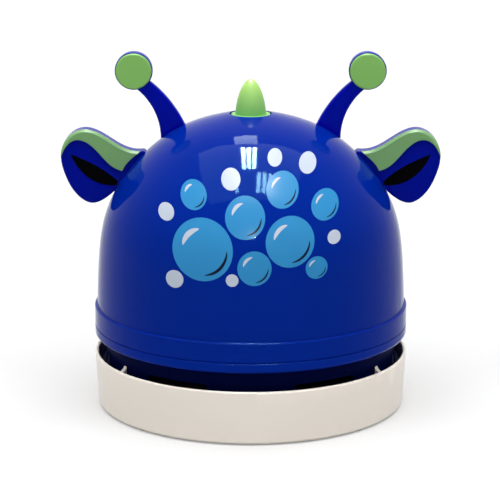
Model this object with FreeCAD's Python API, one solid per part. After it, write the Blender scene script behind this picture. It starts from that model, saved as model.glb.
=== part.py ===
import FreeCAD, Part
import math
import os
from FreeCAD import Vector

# Desktop mini vacuum cleaner: a domed head stands on a round brush base.
# Millimetres, +Z up, the front faces -Y, the origin is on the desk under the centre.

# Shared clearances
OVERRUN = 2.0
SLIDE_GAP = 0.3
FIT_GAP = 0.1
SHAFT_GAP = 0.05
PARALLEL_SHARE = 0.99

# Base ring: the pale drum that stands on the desk
BASE_RADIUS = 45.0
BASE_TOP = 15.5
BASE_DRAFT = 0.9
RIM_WALL = 1.0
RIM_LIP_ROUND = 0.45
FOOT_LIFT = 0.4
FLANGE_THICKNESS = 1.8
FLANGE_WIDTH = 8.2
BASE_EDGE_CHAMFER = 0.5

# Centring fins inside the rim
FIN_AZIMUTHS = (-147.0, -33.0, 90.0)
FIN_THICKNESS = 1.4
FIN_TOP_RISE = 0.8
FIN_HEIGHT = 6.5
FIN_LIP_DROP = 0.3
FIN_LEAD_ACROSS_SHARE = 0.25
FIN_LEAD_DOWN_SHARE = 0.67

# Neck of the head, which is the fan housing
NECK_WALL = 1.4
NECK_LOW = 9.8
WINDOW_LOW = 12.4
WINDOW_HIGH = 16.2
WINDOW_COUNT = 6
WINDOW_SPAN = 27.0
WINDOW_CORNER = 1.4
FAN_DECK_THICKNESS = 1.4

# Dust cup
CUP_WALL = 1.0
CUP_RIM_GAP = 1.1
CUP_FLOOR_THICKNESS = 1.2
CUP_FLOOR_LIFT = 1.0
SHELF_THICKNESS = 1.2
SHELF_OVERLAP = 2.0
INLET_RADIUS = 9.0
CHIMNEY_WALL = 1.2
CHIMNEY_HEIGHT = 2.4
FLOOR_RIB_COUNT = 6
FLOOR_RIB_THICKNESS = 1.0
FLOOR_RIB_DEPTH = 1.4

# Brush under the cup
CARRIER_GAP = 0.5
CARRIER_WIDTH = 4.8
CARRIER_THICKNESS = 2.2
TUFT_COUNT = 30
TUFT_RADIUS = 0.9
TUFT_SOCKET = 1.4
TUFT_END_HEIGHT = 0.15
TUFT_TIP_RADIUS = 1.15

# Glide feet
FOOT_COUNT = 4
FOOT_RADIUS = 2.6
FOOT_SOCKET = 0.5

# Screws, all of one size
SCREW_RADIUS = 0.9
SCREW_HEAD_RADIUS = 1.7
SCREW_HEAD_HEIGHT = 1.0
SCREW_SLOT_WIDTH = 0.5
SCREW_SLOT_DEPTH = 0.45
SCREW_HOLE_RADIUS = 1.1
SCREW_RECESS_RADIUS = 2.1
BOSS_RADIUS = 2.5

# Base screws, through the flange into the cup
BASE_SCREW_INSET = 2.9
BASE_SCREW_AZIMUTHS = (90.0, 210.0, 330.0)
BASE_SCREW_LENGTH = 4.2
SCREW_SEAT_WALL = 0.7

# Seal under the neck
SEAL_THICKNESS = 0.8
SEAL_INSET = 0.15

# Filter and the plate in front of the fan
FILTER_THICKNESS = 1.6
FILTER_PAD_THICKNESS = 1.0
FILTER_OPENING_INSET = 2.0
FILTER_SPOKES = 6
FILTER_SPOKE_WIDTH = 1.6
FILTER_HUB_RADIUS = 4.0
FILTER_RING_RADIUS = 14.5
FILTER_RING_WIDTH = 1.4
FILTER_TAB_LENGTH = 10.0
FILTER_TAB_THICKNESS = 1.6
FILTER_TAB_DROP = 1.1
INLET_PLATE_THICKNESS = 1.0
EYE_RADIUS = 11.0
PLATE_SCREW_INSET = 4.2
PLATE_SCREW_AZIMUTHS = (90.0, 210.0, 330.0)
PLATE_SCREW_LENGTH = 5.0

# Impeller
IMPELLER_SIDE_GAP = 6.5
IMPELLER_PLATE_THICKNESS = 0.9
IMPELLER_CLEARANCE = 0.8
BLADE_HEIGHT = 3.6
BLADE_COUNT = 11
BLADE_THICKNESS = 0.9
BLADE_INNER_RADIUS = 8.0
BLADE_OUTER_INSET = 0.4
BLADE_SWEEP = 46.0
BLADE_MID_RADIUS_SHARE = 0.52
BLADE_MID_SWEEP_SHARE = 0.36
HUB_RADIUS = 3.2
HUB_RISE = 1.0
HUB_NOSE = 0.4
HUB_FLARE = 1.6

# Blue band: the lower and the upper housing meet in a seam
BAND_INSET = 0.1
FAN_DECK_GAP = 0.6
LOWER_BAND_HEIGHT = 2.9
UPPER_BAND_HEIGHT = 5.6
BAND_EDGE_ROUND = 0.8
LEDGE_EDGE_ROUND = 0.35
SEAM_GROOVE = 0.3
SHELL_WALL = 1.8
MOTOR_DECK_THICKNESS = 1.5
LIP_WALL = 1.2
LIP_RISE = 2.4

# Dome above the ledge: radius and height shares of its outline
LEDGE_WIDTH = 0.75
DOME_HEIGHT = 55.4
DOME_SHARES = (
    (1.0, 0.0), (0.9975, 0.09), (0.985, 0.267), (0.949, 0.448), (0.847, 0.628),
    (0.762, 0.718), (0.648, 0.809), (0.490, 0.899), (0.330, 0.953), (0.136, 0.991), (0.0, 1.0),
)

# Screws that join the fan housing and the two housings
FAN_SCREW_INSET = 7.2
FAN_SCREW_AZIMUTHS = (30.0, 150.0, 270.0)
FAN_SCREW_LENGTH = 6.0
FAN_SCREW_BOSS_HEIGHT = 4.8
HOUSING_SCREW_INSET = 5.6
HOUSING_SCREW_AZIMUTHS = (-30.0, 90.0, 210.0)
HOUSING_SCREW_LENGTH = 6.5
HOUSING_SCREW_RECESS = 1.3
HOUSING_BOSS_HEIGHT = 2.4
HOUSING_POST_HEIGHT = 5.1
HOUSING_POST_WEB = 1.2

# Horn button on the crown
HORN_HOLE_RADIUS = 6.0
HORN_FLANGE_RADIUS = 5.5
HORN_CROWN_DROP = 0.6
HORN_RADIUS = 4.4
HORN_HEIGHT = 9.9
HORN_POLE_SHARES = ((0.5, 1.0), (0.93, 0.5))
HORN_PLATE_THICKNESS = 1.2
HORN_SKIRT_WALL = 1.2
HORN_STOP_RADIUS = 7.0
HORN_STOP_THICKNESS = 1.2
HORN_SKIRT_LENGTH = 7.4
HORN_HUB_RADIUS = 2.0
HORN_HUB_LENGTH = 7.0
GUIDE_WALL = 1.4
GUIDE_STOP_GAP = 0.05

# Push switch under the horn, on a small board
SWITCH_WIDTH = 8.5
SWITCH_HEIGHT = 7.0
PLUNGER_WIDTH = 3.0
PLUNGER_RISE = 4.0
PLUNGER_DEPTH = 1.8
PLUNGER_WELL_DEPTH = 4.5
PLUNGER_GAP = 0.2
BOARD_LENGTH = 38.0
BOARD_WIDTH = 12.0
BOARD_THICKNESS = 1.6
BOARD_SCREW_SPACING = 30.0
BOARD_SCREW_LENGTH = 7.0
PIN_RADIUS = 0.4
PIN_DROP = 1.0
PIN_PITCH = 2.5

# Motor: a flat-sided can
MOTOR_RADIUS = 10.0
MOTOR_FLAT_HALF = 7.5
MOTOR_CAN_LENGTH = 23.1
MOTOR_CAN_WALL = 0.8
MOTOR_BOSS_RADIUS = 3.0
MOTOR_BOSS_HEIGHT = 1.7
END_CAP_THICKNESS = 2.0
END_CAP_PLUG = 1.2
END_BOSS_RADIUS = 2.8
END_BOSS_HEIGHT = 1.2
SHAFT_RADIUS = 1.0
SHAFT_TOP_RISE = 0.5
BUSHING_RADIUS = 2.2
BUSHING_LENGTH = 2.7
MAGNET_LENGTH = 14.0
MAGNET_RISE = 4.2
ARMATURE_GAP = 0.4
ARMATURE_LENGTH = 12.0
ARMATURE_RISE = 5.2
ARMATURE_POLES = 3
POLE_SHOE_THICKNESS = 1.4
POLE_STEM_WIDTH = 2.2
POLE_SLOT_WIDTH = 1.4
ARMATURE_HUB_RADIUS = 2.5
WINDING_OVERHANG = 1.3
WINDING_HALF_WIDTH = 2.5
WINDING_ROUND = 0.9
COMMUTATOR_RADIUS = 2.4
COMMUTATOR_LENGTH = 2.8
COMMUTATOR_RISE = 0.1
BRUSH_GAP = 0.1
BRUSH_THICKNESS = 0.4
BRUSH_WIDTH = 1.6
TERMINAL_WIDTH = 2.0
TERMINAL_THICKNESS = 0.4
TERMINAL_HEIGHT = 2.8
TERMINAL_OFFSET = 5.4
CRADLE_WALL = 1.3
CRADLE_HEIGHT = 8.0

# Bracket across the motor's top
BRACKET_POST_SPACING = 30.0
BRACKET_LENGTH = 36.0
BRACKET_WIDTH = 7.2
BRACKET_THICKNESS = 2.0
BRACKET_END_ROUND = 2.9
BRACKET_SCREW_LENGTH = 6.0

# Battery tray with two AA cells, open to the rear
CELL_RADIUS = 7.25
CELL_LENGTH = 50.5
CELL_NUB_RADIUS = 2.75
CELL_NUB_HEIGHT = 1.0
CELL_SHOULDER_ROUND = 0.6
CELL_SPACING = 0.3
CELL_LEDGE_RISE = 9.4
CELL_GAP = 0.15
LEAF_REACH = 4.0
PLATE_THICKNESS = 0.4
PLATE_WIDTH = 9.0
TRAY_WALL = 1.2
TRAY_DOOR_GAP = 3.0
TRAY_MOTOR_GAP = 1.5
TRAY_LUG_INSET = 3.65
TRAY_LUG_REACH = 6.0
TRAY_LUG_THICKNESS = 2.0
TRAY_SCREW_LENGTH = 6.0
SOLDER_TAB_WIDTH = 3.0
SOLDER_TAB_REACH = 2.5
LEAF_WIDTH = 5.0
LEAF_THICKNESS = 0.4
LEAF_FOOT_SHARE = 0.8

# Battery door in the rear of the dome
DOOR_SIDE_ROOM = 0.85
DOOR_LEDGE_GAP = 1.8
DOOR_TRAY_DROP = 0.5
DOOR_TAB_HALF_WIDTH = 4.5
DOOR_TAB_HEIGHT = 5.0
DOOR_RIB_DEPTH = 1.6
DOOR_RIB_THICKNESS = 1.2
DOOR_RIB_INSET = 6.5
DOOR_SCREW_RISE = 2.1
DOOR_SCREW_LENGTH = 5.0
DOOR_BOSS_DEPTH = 7.0
DOOR_BOSS_GAP = 0.6

# Antennae: curved stalks that end in a round button with a green cap.
# Their places across and up are shares of the dome's radius and height.
ANTENNA_BACK = 3.6
ANTENNA_THICKNESS = 3.2
ANTENNA_DISC_SHARES = (0.752, 1.1968)
ANTENNA_DISC_RADIUS = 5.4
ANTENNA_INNER_SHARES = ((0.41, 0.893), (0.529, 1.05), (0.668, 1.155))
ANTENNA_OUTER_SHARES = ((0.7701, 1.1227), (0.6251, 0.9928), (0.5866, 0.7978))
ANTENNA_EDGE_ROUND = 0.9
ANTENNA_DISC_ROUND = 0.35
ANTENNA_CAP_RADIUS = 5.1
ANTENNA_CAP_RISE = 0.9
ANTENNA_CAP_SOCKET = 0.7
ANTENNA_CAP_BEVEL = 0.45
ANTENNA_TAB_SHARES = (0.444, 0.7455)
ANTENNA_TAB_WIDTH = 5.0
ANTENNA_TAB_THICKNESS = 2.0
ANTENNA_TAB_HEIGHT = 9.0

# Ears: plain rounded leaves with a green inlay
EAR_ROOT_INSET = 15.15
EAR_REACH = 9.95
EAR_LOW_SHARE = 0.5144
EAR_HEIGHT = 21.5
EAR_BACK = 0.8
EAR_THICKNESS = 5.0
EAR_EDGE_ROUND = 0.6
EAR_OUTLINE_SHARES = (
    (0.08, 0.71), (0.339, 0.786), (0.558, 0.944), (0.737, 1.0), (0.908, 0.907), (1.0, 0.656),
    (0.952, 0.377), (0.829, 0.126), (0.657, 0.005), (0.478, 0.088), (0.279, 0.27), (0.06, 0.456),
)
EAR_INLAY_LOW_SHARES = (
    (1.03, 0.53), (0.975, 0.7), (0.92, 0.8), (0.84, 0.86), (0.742, 0.853), (0.649, 0.785),
    (0.55, 0.665), (0.45, 0.54), (0.303, 0.45),
)
EAR_INLAY_ROOT_SHARES = ((0.303, 0.45), (0.235, 0.57), (0.16, 0.65), (0.02, 0.78))
EAR_INLAY_ROOM_SHARES = ((0.02, 1.1), (1.1, 1.1), (1.1, 0.53))
EAR_INLAY_RISE = 0.6
EAR_INLAY_SOCKET = 0.7
EAR_INLAY_BEVEL = 0.6
EAR_TAB_INSET = 3.0
EAR_TAB_REACH = 16.0
EAR_TAB_RISE = 4.8
EAR_TAB_HEIGHT = 6.0
EAR_TAB_THICKNESS = 2.6

# Insulated leads inside the head, points chosen by hand
LEAD_RADIUS = 0.55
LEAD_BATTERY_MOTOR = (
    (-27.45, 6.5, 38.6), (-27.45, 1.6, 38.6), (-25.0, -4.2, 43.2), (-20.6, -6.2, 50.0),
    (-13.0, -7.0, 55.6), (-5.2, -6.4, 57.6), (0.0, -5.4, 55.2), (0.0, -5.4, 50.1),
)
LEAD_SWITCH_MOTOR = (
    (-7.8, 2.8, 64.4), (-7.8, 2.8, 60.6), (-5.0, 3.8, 57.4), (0.0, 5.4, 54.6), (0.0, 5.4, 50.1),
)
LEAD_BATTERY_SWITCH = (
    (-27.45, 6.5, 53.4), (-27.45, 1.6, 53.4), (-24.0, -3.2, 55.0), (-18.4, -5.0, 56.8),
    (-12.8, -4.6, 59.2), (-12.8, -4.6, 64.4),
)
LEAD_ARC_SHARE = 0.45

# Sizes worked out from the ones above: round the axis
NECK_RADIUS = BASE_RADIUS - RIM_WALL - CUP_RIM_GAP - CUP_WALL - SLIDE_GAP
NECK_INNER_RADIUS = NECK_RADIUS - NECK_WALL
CUP_INNER_RADIUS = NECK_RADIUS + SLIDE_GAP
CUP_OUTER_RADIUS = CUP_INNER_RADIUS + CUP_WALL
FLANGE_BORE_RADIUS = BASE_RADIUS - FLANGE_WIDTH
CARRIER_RADIUS = FLANGE_BORE_RADIUS - CARRIER_GAP
BASE_SCREW_CIRCLE = FLANGE_BORE_RADIUS + BASE_SCREW_INSET
PLATE_SCREW_CIRCLE = NECK_INNER_RADIUS - PLATE_SCREW_INSET
FAN_SCREW_CIRCLE = NECK_INNER_RADIUS - FAN_SCREW_INSET
IMPELLER_RADIUS = PLATE_SCREW_CIRCLE - BOSS_RADIUS - IMPELLER_SIDE_GAP
FILTER_OPENING_RADIUS = IMPELLER_RADIUS - FILTER_OPENING_INSET
BAND_RADIUS = BASE_RADIUS - BAND_INSET
BAND_INNER_RADIUS = BAND_RADIUS - SHELL_WALL
HOUSING_SCREW_CIRCLE = BAND_INNER_RADIUS - HOUSING_SCREW_INSET
DOME_RADIUS = BAND_RADIUS - LEDGE_WIDTH

# Sizes worked out: heights
FLANGE_TOP = FOOT_LIFT + FLANGE_THICKNESS
CUP_FLOOR_LOW = FLANGE_TOP + CUP_FLOOR_LIFT
CUP_FLOOR_TOP = CUP_FLOOR_LOW + CUP_FLOOR_THICKNESS
CUP_TOP = WINDOW_LOW
SHELF_TOP = NECK_LOW - SEAL_THICKNESS
FILTER_TOP = NECK_LOW + FILTER_THICKNESS
INLET_PLATE_TOP = FILTER_TOP + INLET_PLATE_THICKNESS
BLADE_LOW = INLET_PLATE_TOP + IMPELLER_CLEARANCE
BLADE_TOP = BLADE_LOW + BLADE_HEIGHT
IMPELLER_TOP = BLADE_TOP + IMPELLER_PLATE_THICKNESS
FAN_DECK_LOW = IMPELLER_TOP + HUB_RISE + FAN_DECK_GAP
BAND_LOW = FAN_DECK_LOW + FAN_DECK_THICKNESS
SEAM_HEIGHT = BAND_LOW + LOWER_BAND_HEIGHT
LEDGE_HEIGHT = SEAM_HEIGHT + UPPER_BAND_HEIGHT
MOTOR_DECK_TOP = BAND_LOW + MOTOR_DECK_THICKNESS
MOTOR_LOW = MOTOR_DECK_TOP
CAN_TOP = MOTOR_LOW + MOTOR_CAN_LENGTH
END_CAP_TOP = CAN_TOP + END_CAP_THICKNESS
END_BOSS_TOP = END_CAP_TOP + END_BOSS_HEIGHT
ARMATURE_LOW = MOTOR_LOW + ARMATURE_RISE
ARMATURE_TOP = ARMATURE_LOW + ARMATURE_LENGTH
ARMATURE_RADIUS = MOTOR_FLAT_HALF - MOTOR_CAN_WALL - ARMATURE_GAP
MAGNET_INNER_RADIUS = ARMATURE_RADIUS + ARMATURE_GAP
COMMUTATOR_LOW = ARMATURE_TOP + WINDING_OVERHANG + COMMUTATOR_RISE
HORN_FLANGE_TOP = LEDGE_HEIGHT + DOME_HEIGHT - HORN_CROWN_DROP
HORN_PLATE_LOW = HORN_FLANGE_TOP - HORN_PLATE_THICKNESS
HORN_SKIRT_LOW = HORN_FLANGE_TOP - HORN_SKIRT_LENGTH
HORN_STOP_TOP = HORN_SKIRT_LOW + HORN_STOP_THICKNESS
GUIDE_LOW = HORN_STOP_TOP + GUIDE_STOP_GAP
PLUNGER_TOP = HORN_FLANGE_TOP - HORN_HUB_LENGTH
SWITCH_TOP = PLUNGER_TOP - PLUNGER_RISE
BOARD_TOP = SWITCH_TOP - SWITCH_HEIGHT
BOARD_LOW = BOARD_TOP - BOARD_THICKNESS
CELL_LOW_HEIGHT = LEDGE_HEIGHT + CELL_LEDGE_RISE
CELL_HEIGHTS = (CELL_LOW_HEIGHT, CELL_LOW_HEIGHT + 2 * CELL_RADIUS + CELL_SPACING)
TRAY_HALF_LENGTH = (CELL_LENGTH + LEAF_REACH) / 2 + PLATE_THICKNESS
CHANNEL_RADIUS = CELL_RADIUS + CELL_GAP
TRAY_LOW = CELL_HEIGHTS[0] - CHANNEL_RADIUS - TRAY_WALL
TRAY_HIGH = CELL_HEIGHTS[1] + CHANNEL_RADIUS + TRAY_WALL
TRAY_FRONT = MOTOR_FLAT_HALF + TRAY_MOTOR_GAP
CELL_BACK_OFFSET = TRAY_FRONT + TRAY_WALL + CHANNEL_RADIUS
TRAY_LUG_X = TRAY_HALF_LENGTH - TRAY_LUG_INSET
DOOR_HALF_WIDTH = TRAY_HALF_LENGTH + DOOR_SIDE_ROOM
DOOR_LOW = LEDGE_HEIGHT + DOOR_LEDGE_GAP
DOOR_HIGH = TRAY_HIGH - DOOR_TRAY_DROP
DOOR_SCREW_HEIGHT = DOOR_HIGH + DOOR_SCREW_RISE
DOOR_RIB_HALF_WIDTH = DOOR_HALF_WIDTH - DOOR_RIB_INSET

# Sizes worked out: ears
EAR_ROOT_X = DOME_RADIUS - EAR_ROOT_INSET
EAR_TIP_X = DOME_RADIUS + EAR_REACH
EAR_LOW = LEDGE_HEIGHT + DOME_HEIGHT * EAR_LOW_SHARE
EAR_TAB_X = EAR_ROOT_X - EAR_TAB_INSET
EAR_TAB_LOW = EAR_LOW + EAR_TAB_RISE

SIDES = (-1, 1)


# Shape helpers

def disc(radius, low, high, x=0, y=0):
    return Part.makeCylinder(radius, high - low, Vector(x, y, low))


def tube(outer, inner, low, high, x=0, y=0):
    bore = disc(inner, low - OVERRUN, high + OVERRUN, x, y)
    return disc(outer, low, high, x, y).cut(bore)


def block(x_range, y_range, z_range):
    corner = Vector(x_range[0], y_range[0], z_range[0])
    return Part.makeBox(x_range[1] - x_range[0], y_range[1] - y_range[0], z_range[1] - z_range[0], corner)


def around(shape, azimuth):
    turned = shape.copy()
    turned.rotate(Vector(0, 0, 0), Vector(0, 0, 1), azimuth)
    return turned


def spot(radius, azimuth):
    angle = math.radians(azimuth)
    return radius * math.cos(angle), radius * math.sin(angle)


def even_azimuths(count, first=0.0):
    return [first + 360.0 * index / count for index in range(count)]


def fused(shapes):
    return shapes[0].multiFuse(shapes[1:]).removeSplitter() if len(shapes) > 1 else shapes[0]


def trimmed(shape, tools):
    return shape.cut(fused(tools))


def revolved(start, steps):
    """Solid of revolution about Z. A step is a point, or an arc given as its middle and its end."""
    edges = []
    here = Vector(start[0], 0, start[1])
    for step in steps + [start]:
        if isinstance(step[0], tuple):
            middle = Vector(step[0][0], 0, step[0][1])
            there = Vector(step[1][0], 0, step[1][1])
            edges.append(Part.Arc(here, middle, there).toShape())
        else:
            there = Vector(step[0], 0, step[1])
            if there.distanceToPoint(here) > 0:
                edges.append(Part.LineSegment(here, there).toShape())
        here = there
    face = Part.Face(Part.Wire(edges))
    return face.revolve(Vector(0, 0, 0), Vector(0, 0, 1), 360)


def rounded(corner, before, after, radius):
    """Three points that round a corner between two upright or level lines."""
    into = (corner[0] + before[0] * radius, corner[1] + before[1] * radius)
    away = (corner[0] + after[0] * radius, corner[1] + after[1] * radius)
    slack = radius * (1 - math.sqrt(0.5))
    middle = (corner[0] + (before[0] + after[0]) * slack, corner[1] + (before[1] + after[1]) * slack)
    return [into, (middle, away)]


def extruded(edges, depth):
    """Flat outline in X and Z, pushed back along +Y."""
    return Part.Face(Part.Wire(edges)).extrude(Vector(0, depth, 0))


def spline_edge(points, y):
    curve = Part.BSplineCurve()
    curve.interpolate(Points=[Vector(x, y, z) for x, z in points])
    return curve.toShape()


def edges_along(shape, axis):
    """Straight edges that run along an axis."""
    found = []
    for edge in shape.Edges:
        if abs(edge.tangentAt(edge.FirstParameter).dot(axis)) > PARALLEL_SHARE:
            found.append(edge)
    return found


def mirrored(shape):
    return shape.mirror(Vector(0, 0, 0), Vector(1, 0, 0))


def screw(x, y, seat, length, up=1):
    """Pan head screw on the axis Z. It bears on the height seat and its shank runs up or down."""
    head_low, head_high = sorted((seat, seat - up * SCREW_HEAD_HEIGHT))
    shank_low, shank_high = sorted((seat, seat + up * length))
    head = disc(SCREW_HEAD_RADIUS, head_low, head_high, x, y)
    body = head.fuse(disc(SCREW_RADIUS, shank_low, shank_high, x, y))
    outer = seat - up * SCREW_HEAD_HEIGHT
    slot_low, slot_high = sorted((outer - up * OVERRUN, outer + up * SCREW_SLOT_DEPTH))
    reach = SCREW_HEAD_RADIUS + OVERRUN
    half = SCREW_SLOT_WIDTH / 2
    cross = [
        block((x - reach, x + reach), (y - half, y + half), (slot_low, slot_high)),
        block((x - half, x + half), (y - reach, y + reach), (slot_low, slot_high)),
    ]
    return trimmed(body, cross)


def screws(circle, azimuths, seat, length):
    return Part.makeCompound([screw(*spot(circle, azimuth), seat, length) for azimuth in azimuths])


def save(name, shape):
    shape.exportStep("parts/" + name + ".step")


# Base

def rim_radius(height):
    """Outer radius of the drafted drum at a height."""
    return BASE_RADIUS - BASE_DRAFT * (BASE_TOP - height) / (BASE_TOP - FOOT_LIFT)


def base_drum():
    lip_low = BASE_TOP - RIM_LIP_ROUND
    lip_radius = rim_radius(lip_low)
    steps = [
        (rim_radius(FOOT_LIFT) - BASE_EDGE_CHAMFER, FOOT_LIFT),
        (rim_radius(FOOT_LIFT + BASE_EDGE_CHAMFER), FOOT_LIFT + BASE_EDGE_CHAMFER),
        (lip_radius, lip_low),
        ((BASE_RADIUS - RIM_WALL / 2, BASE_TOP), (lip_radius - RIM_WALL, lip_low)),
        (rim_radius(FLANGE_TOP) - RIM_WALL, FLANGE_TOP),
        (FLANGE_BORE_RADIUS, FLANGE_TOP),
    ]
    return revolved((FLANGE_BORE_RADIUS, FOOT_LIFT), steps)


def fin():
    """Upright rib inside the rim, with a hollow lead-in from its tip down to the rim."""
    inner = NECK_RADIUS + SLIDE_GAP
    outer = BASE_RADIUS - RIM_WALL / 2
    tip = BASE_TOP + FIN_TOP_RISE
    foot = tip - FIN_HEIGHT
    rim = BASE_TOP - RIM_LIP_ROUND - FIN_LIP_DROP
    across = inner + (outer - inner) * FIN_LEAD_ACROSS_SHARE
    down = tip - (tip - rim) * FIN_LEAD_DOWN_SHARE
    lead = Part.Arc(Vector(inner, 0, tip), Vector(across, 0, down), Vector(outer, 0, rim)).toShape()
    sides = [
        Part.LineSegment(Vector(outer, 0, rim), Vector(outer, 0, foot)).toShape(),
        Part.LineSegment(Vector(outer, 0, foot), Vector(inner, 0, foot)).toShape(),
        Part.LineSegment(Vector(inner, 0, foot), Vector(inner, 0, tip)).toShape(),
    ]
    rib = extruded([lead] + sides, FIN_THICKNESS)
    rib.translate(Vector(0, -FIN_THICKNESS / 2, 0))
    half_wall = RIM_WALL / 2
    wall_steps = [(rim_radius(foot) - half_wall, foot), (rim_radius(BASE_TOP) - half_wall, tip), (0, tip)]
    keep = revolved((0, foot), wall_steps)
    return rib.common(keep)


def base_ring():
    shape = fused([base_drum()] + [around(fin(), azimuth) for azimuth in FIN_AZIMUTHS])
    seat = FLANGE_TOP - SCREW_SEAT_WALL
    cuts = []
    for azimuth in BASE_SCREW_AZIMUTHS:
        x, y = spot(BASE_SCREW_CIRCLE, azimuth)
        cuts.append(disc(SCREW_HOLE_RADIUS, 0, FLANGE_TOP + OVERRUN, x, y))
        cuts.append(disc(SCREW_RECESS_RADIUS, 0, seat, x, y))
    for azimuth in foot_azimuths():
        x, y = spot(foot_circle(), azimuth)
        cuts.append(disc(FOOT_RADIUS, 0, FOOT_LIFT + FOOT_SOCKET, x, y))
    return trimmed(shape, cuts)


def foot_azimuths():
    return even_azimuths(FOOT_COUNT, 360.0 / FOOT_COUNT / 2)


def foot_circle():
    return (rim_radius(FOOT_LIFT) + FLANGE_BORE_RADIUS) / 2


def glide_feet():
    pads = []
    for azimuth in foot_azimuths():
        x, y = spot(foot_circle(), azimuth)
        pads.append(disc(FOOT_RADIUS, 0, FOOT_LIFT + FOOT_SOCKET, x, y))
    return Part.makeCompound(pads)


def dust_cup():
    shelf_inner = CUP_INNER_RADIUS - SHELF_OVERLAP
    chimney_outer = INLET_RADIUS + CHIMNEY_WALL
    solids = [
        tube(CUP_OUTER_RADIUS, CUP_INNER_RADIUS, FLANGE_TOP, CUP_TOP),
        tube(CUP_OUTER_RADIUS, shelf_inner, SHELF_TOP - SHELF_THICKNESS, SHELF_TOP),
        disc(CUP_OUTER_RADIUS, CUP_FLOOR_LOW, CUP_FLOOR_TOP),
        disc(chimney_outer, CUP_FLOOR_LOW, CUP_FLOOR_TOP + CHIMNEY_HEIGHT),
    ]
    for azimuth in BASE_SCREW_AZIMUTHS:
        x, y = spot(BASE_SCREW_CIRCLE, azimuth)
        solids.append(disc(BOSS_RADIUS, FLANGE_TOP, FLANGE_TOP + BASE_SCREW_LENGTH, x, y))
    rib_outer = CARRIER_RADIUS - CARRIER_WIDTH - FIT_GAP
    half = FLOOR_RIB_THICKNESS / 2
    rib = block((INLET_RADIUS, rib_outer), (-half, half), (CUP_FLOOR_LOW - FLOOR_RIB_DEPTH, CUP_FLOOR_LOW))
    solids += [around(rib, azimuth) for azimuth in even_azimuths(FLOOR_RIB_COUNT)]
    cuts = [disc(INLET_RADIUS, 0, CUP_FLOOR_TOP + CHIMNEY_HEIGHT + OVERRUN)]
    for azimuth in BASE_SCREW_AZIMUTHS:
        x, y = spot(BASE_SCREW_CIRCLE, azimuth)
        cuts.append(disc(SCREW_RADIUS, 0, FLANGE_TOP + BASE_SCREW_LENGTH - CUP_WALL, x, y))
    notch_half = FIN_THICKNESS / 2 + FIT_GAP
    notch_low = BASE_TOP + FIN_TOP_RISE - FIN_HEIGHT - FIT_GAP
    notch_heights = (notch_low, CUP_TOP + OVERRUN)
    notch = block((CUP_INNER_RADIUS - FIT_GAP, BASE_RADIUS), (-notch_half, notch_half), notch_heights)
    cuts += [around(notch, azimuth) for azimuth in FIN_AZIMUTHS]
    return trimmed(fused(solids), cuts)


def base_screws():
    seat = FLANGE_TOP - SCREW_SEAT_WALL
    length = BASE_SCREW_LENGTH + SCREW_SEAT_WALL - CUP_WALL
    return screws(BASE_SCREW_CIRCLE, BASE_SCREW_AZIMUTHS, seat, length)


def tuft_circle():
    return CARRIER_RADIUS - CARRIER_WIDTH / 2


def carrier_low():
    return CUP_FLOOR_LOW - CARRIER_THICKNESS


def brush_carrier():
    ring = tube(CARRIER_RADIUS, CARRIER_RADIUS - CARRIER_WIDTH, carrier_low(), CUP_FLOOR_LOW)
    sockets = []
    for azimuth in even_azimuths(TUFT_COUNT):
        x, y = spot(tuft_circle(), azimuth)
        sockets.append(disc(TUFT_RADIUS, carrier_low() - OVERRUN, carrier_low() + TUFT_SOCKET, x, y))
    return ring.cut(Part.makeCompound(sockets))


def bristle_tufts():
    tufts = []
    for azimuth in even_azimuths(TUFT_COUNT):
        x, y = spot(tuft_circle(), azimuth)
        flare = Part.makeCone(
            TUFT_TIP_RADIUS, TUFT_RADIUS, carrier_low() - TUFT_END_HEIGHT, Vector(x, y, TUFT_END_HEIGHT)
        )
        tufts.append(flare.fuse(disc(TUFT_RADIUS, carrier_low(), carrier_low() + TUFT_SOCKET, x, y)))
    return Part.makeCompound(tufts)


# Fan, filter and neck

def seal_ring():
    return tube(NECK_RADIUS - SEAL_INSET, NECK_INNER_RADIUS + SEAL_INSET, SHELF_TOP, NECK_LOW)


def window_cutter():
    """Rounded slot that points along +X through the neck wall."""
    half_span = math.radians(WINDOW_SPAN / 2)
    half = NECK_RADIUS * math.sin(half_span)
    near = NECK_INNER_RADIUS * math.cos(half_span) - OVERRUN
    cutter = block((near, NECK_RADIUS + OVERRUN), (-half, half), (WINDOW_LOW, WINDOW_HIGH))
    return cutter.makeFillet(WINDOW_CORNER, edges_along(cutter, Vector(1, 0, 0)))


def fan_housing():
    solids = [
        tube(NECK_RADIUS, NECK_INNER_RADIUS, NECK_LOW, BAND_LOW),
        disc(NECK_RADIUS, FAN_DECK_LOW, BAND_LOW),
    ]
    cuts = [disc(MOTOR_BOSS_RADIUS + SLIDE_GAP, FAN_DECK_LOW - OVERRUN, BAND_LOW + OVERRUN)]
    cuts += [around(window_cutter(), azimuth) for azimuth in even_azimuths(WINDOW_COUNT)]
    for azimuth in PLATE_SCREW_AZIMUTHS:
        x, y = spot(PLATE_SCREW_CIRCLE, azimuth)
        solids.append(disc(BOSS_RADIUS, INLET_PLATE_TOP, BAND_LOW, x, y))
        cuts.append(disc(SCREW_RADIUS, INLET_PLATE_TOP - OVERRUN, FILTER_TOP + PLATE_SCREW_LENGTH, x, y))
    for azimuth in FAN_SCREW_AZIMUTHS:
        x, y = spot(FAN_SCREW_CIRCLE, azimuth)
        cuts.append(disc(SCREW_HOLE_RADIUS, FAN_DECK_LOW - OVERRUN, BAND_LOW + OVERRUN, x, y))
    return trimmed(fused(solids), cuts)


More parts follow.
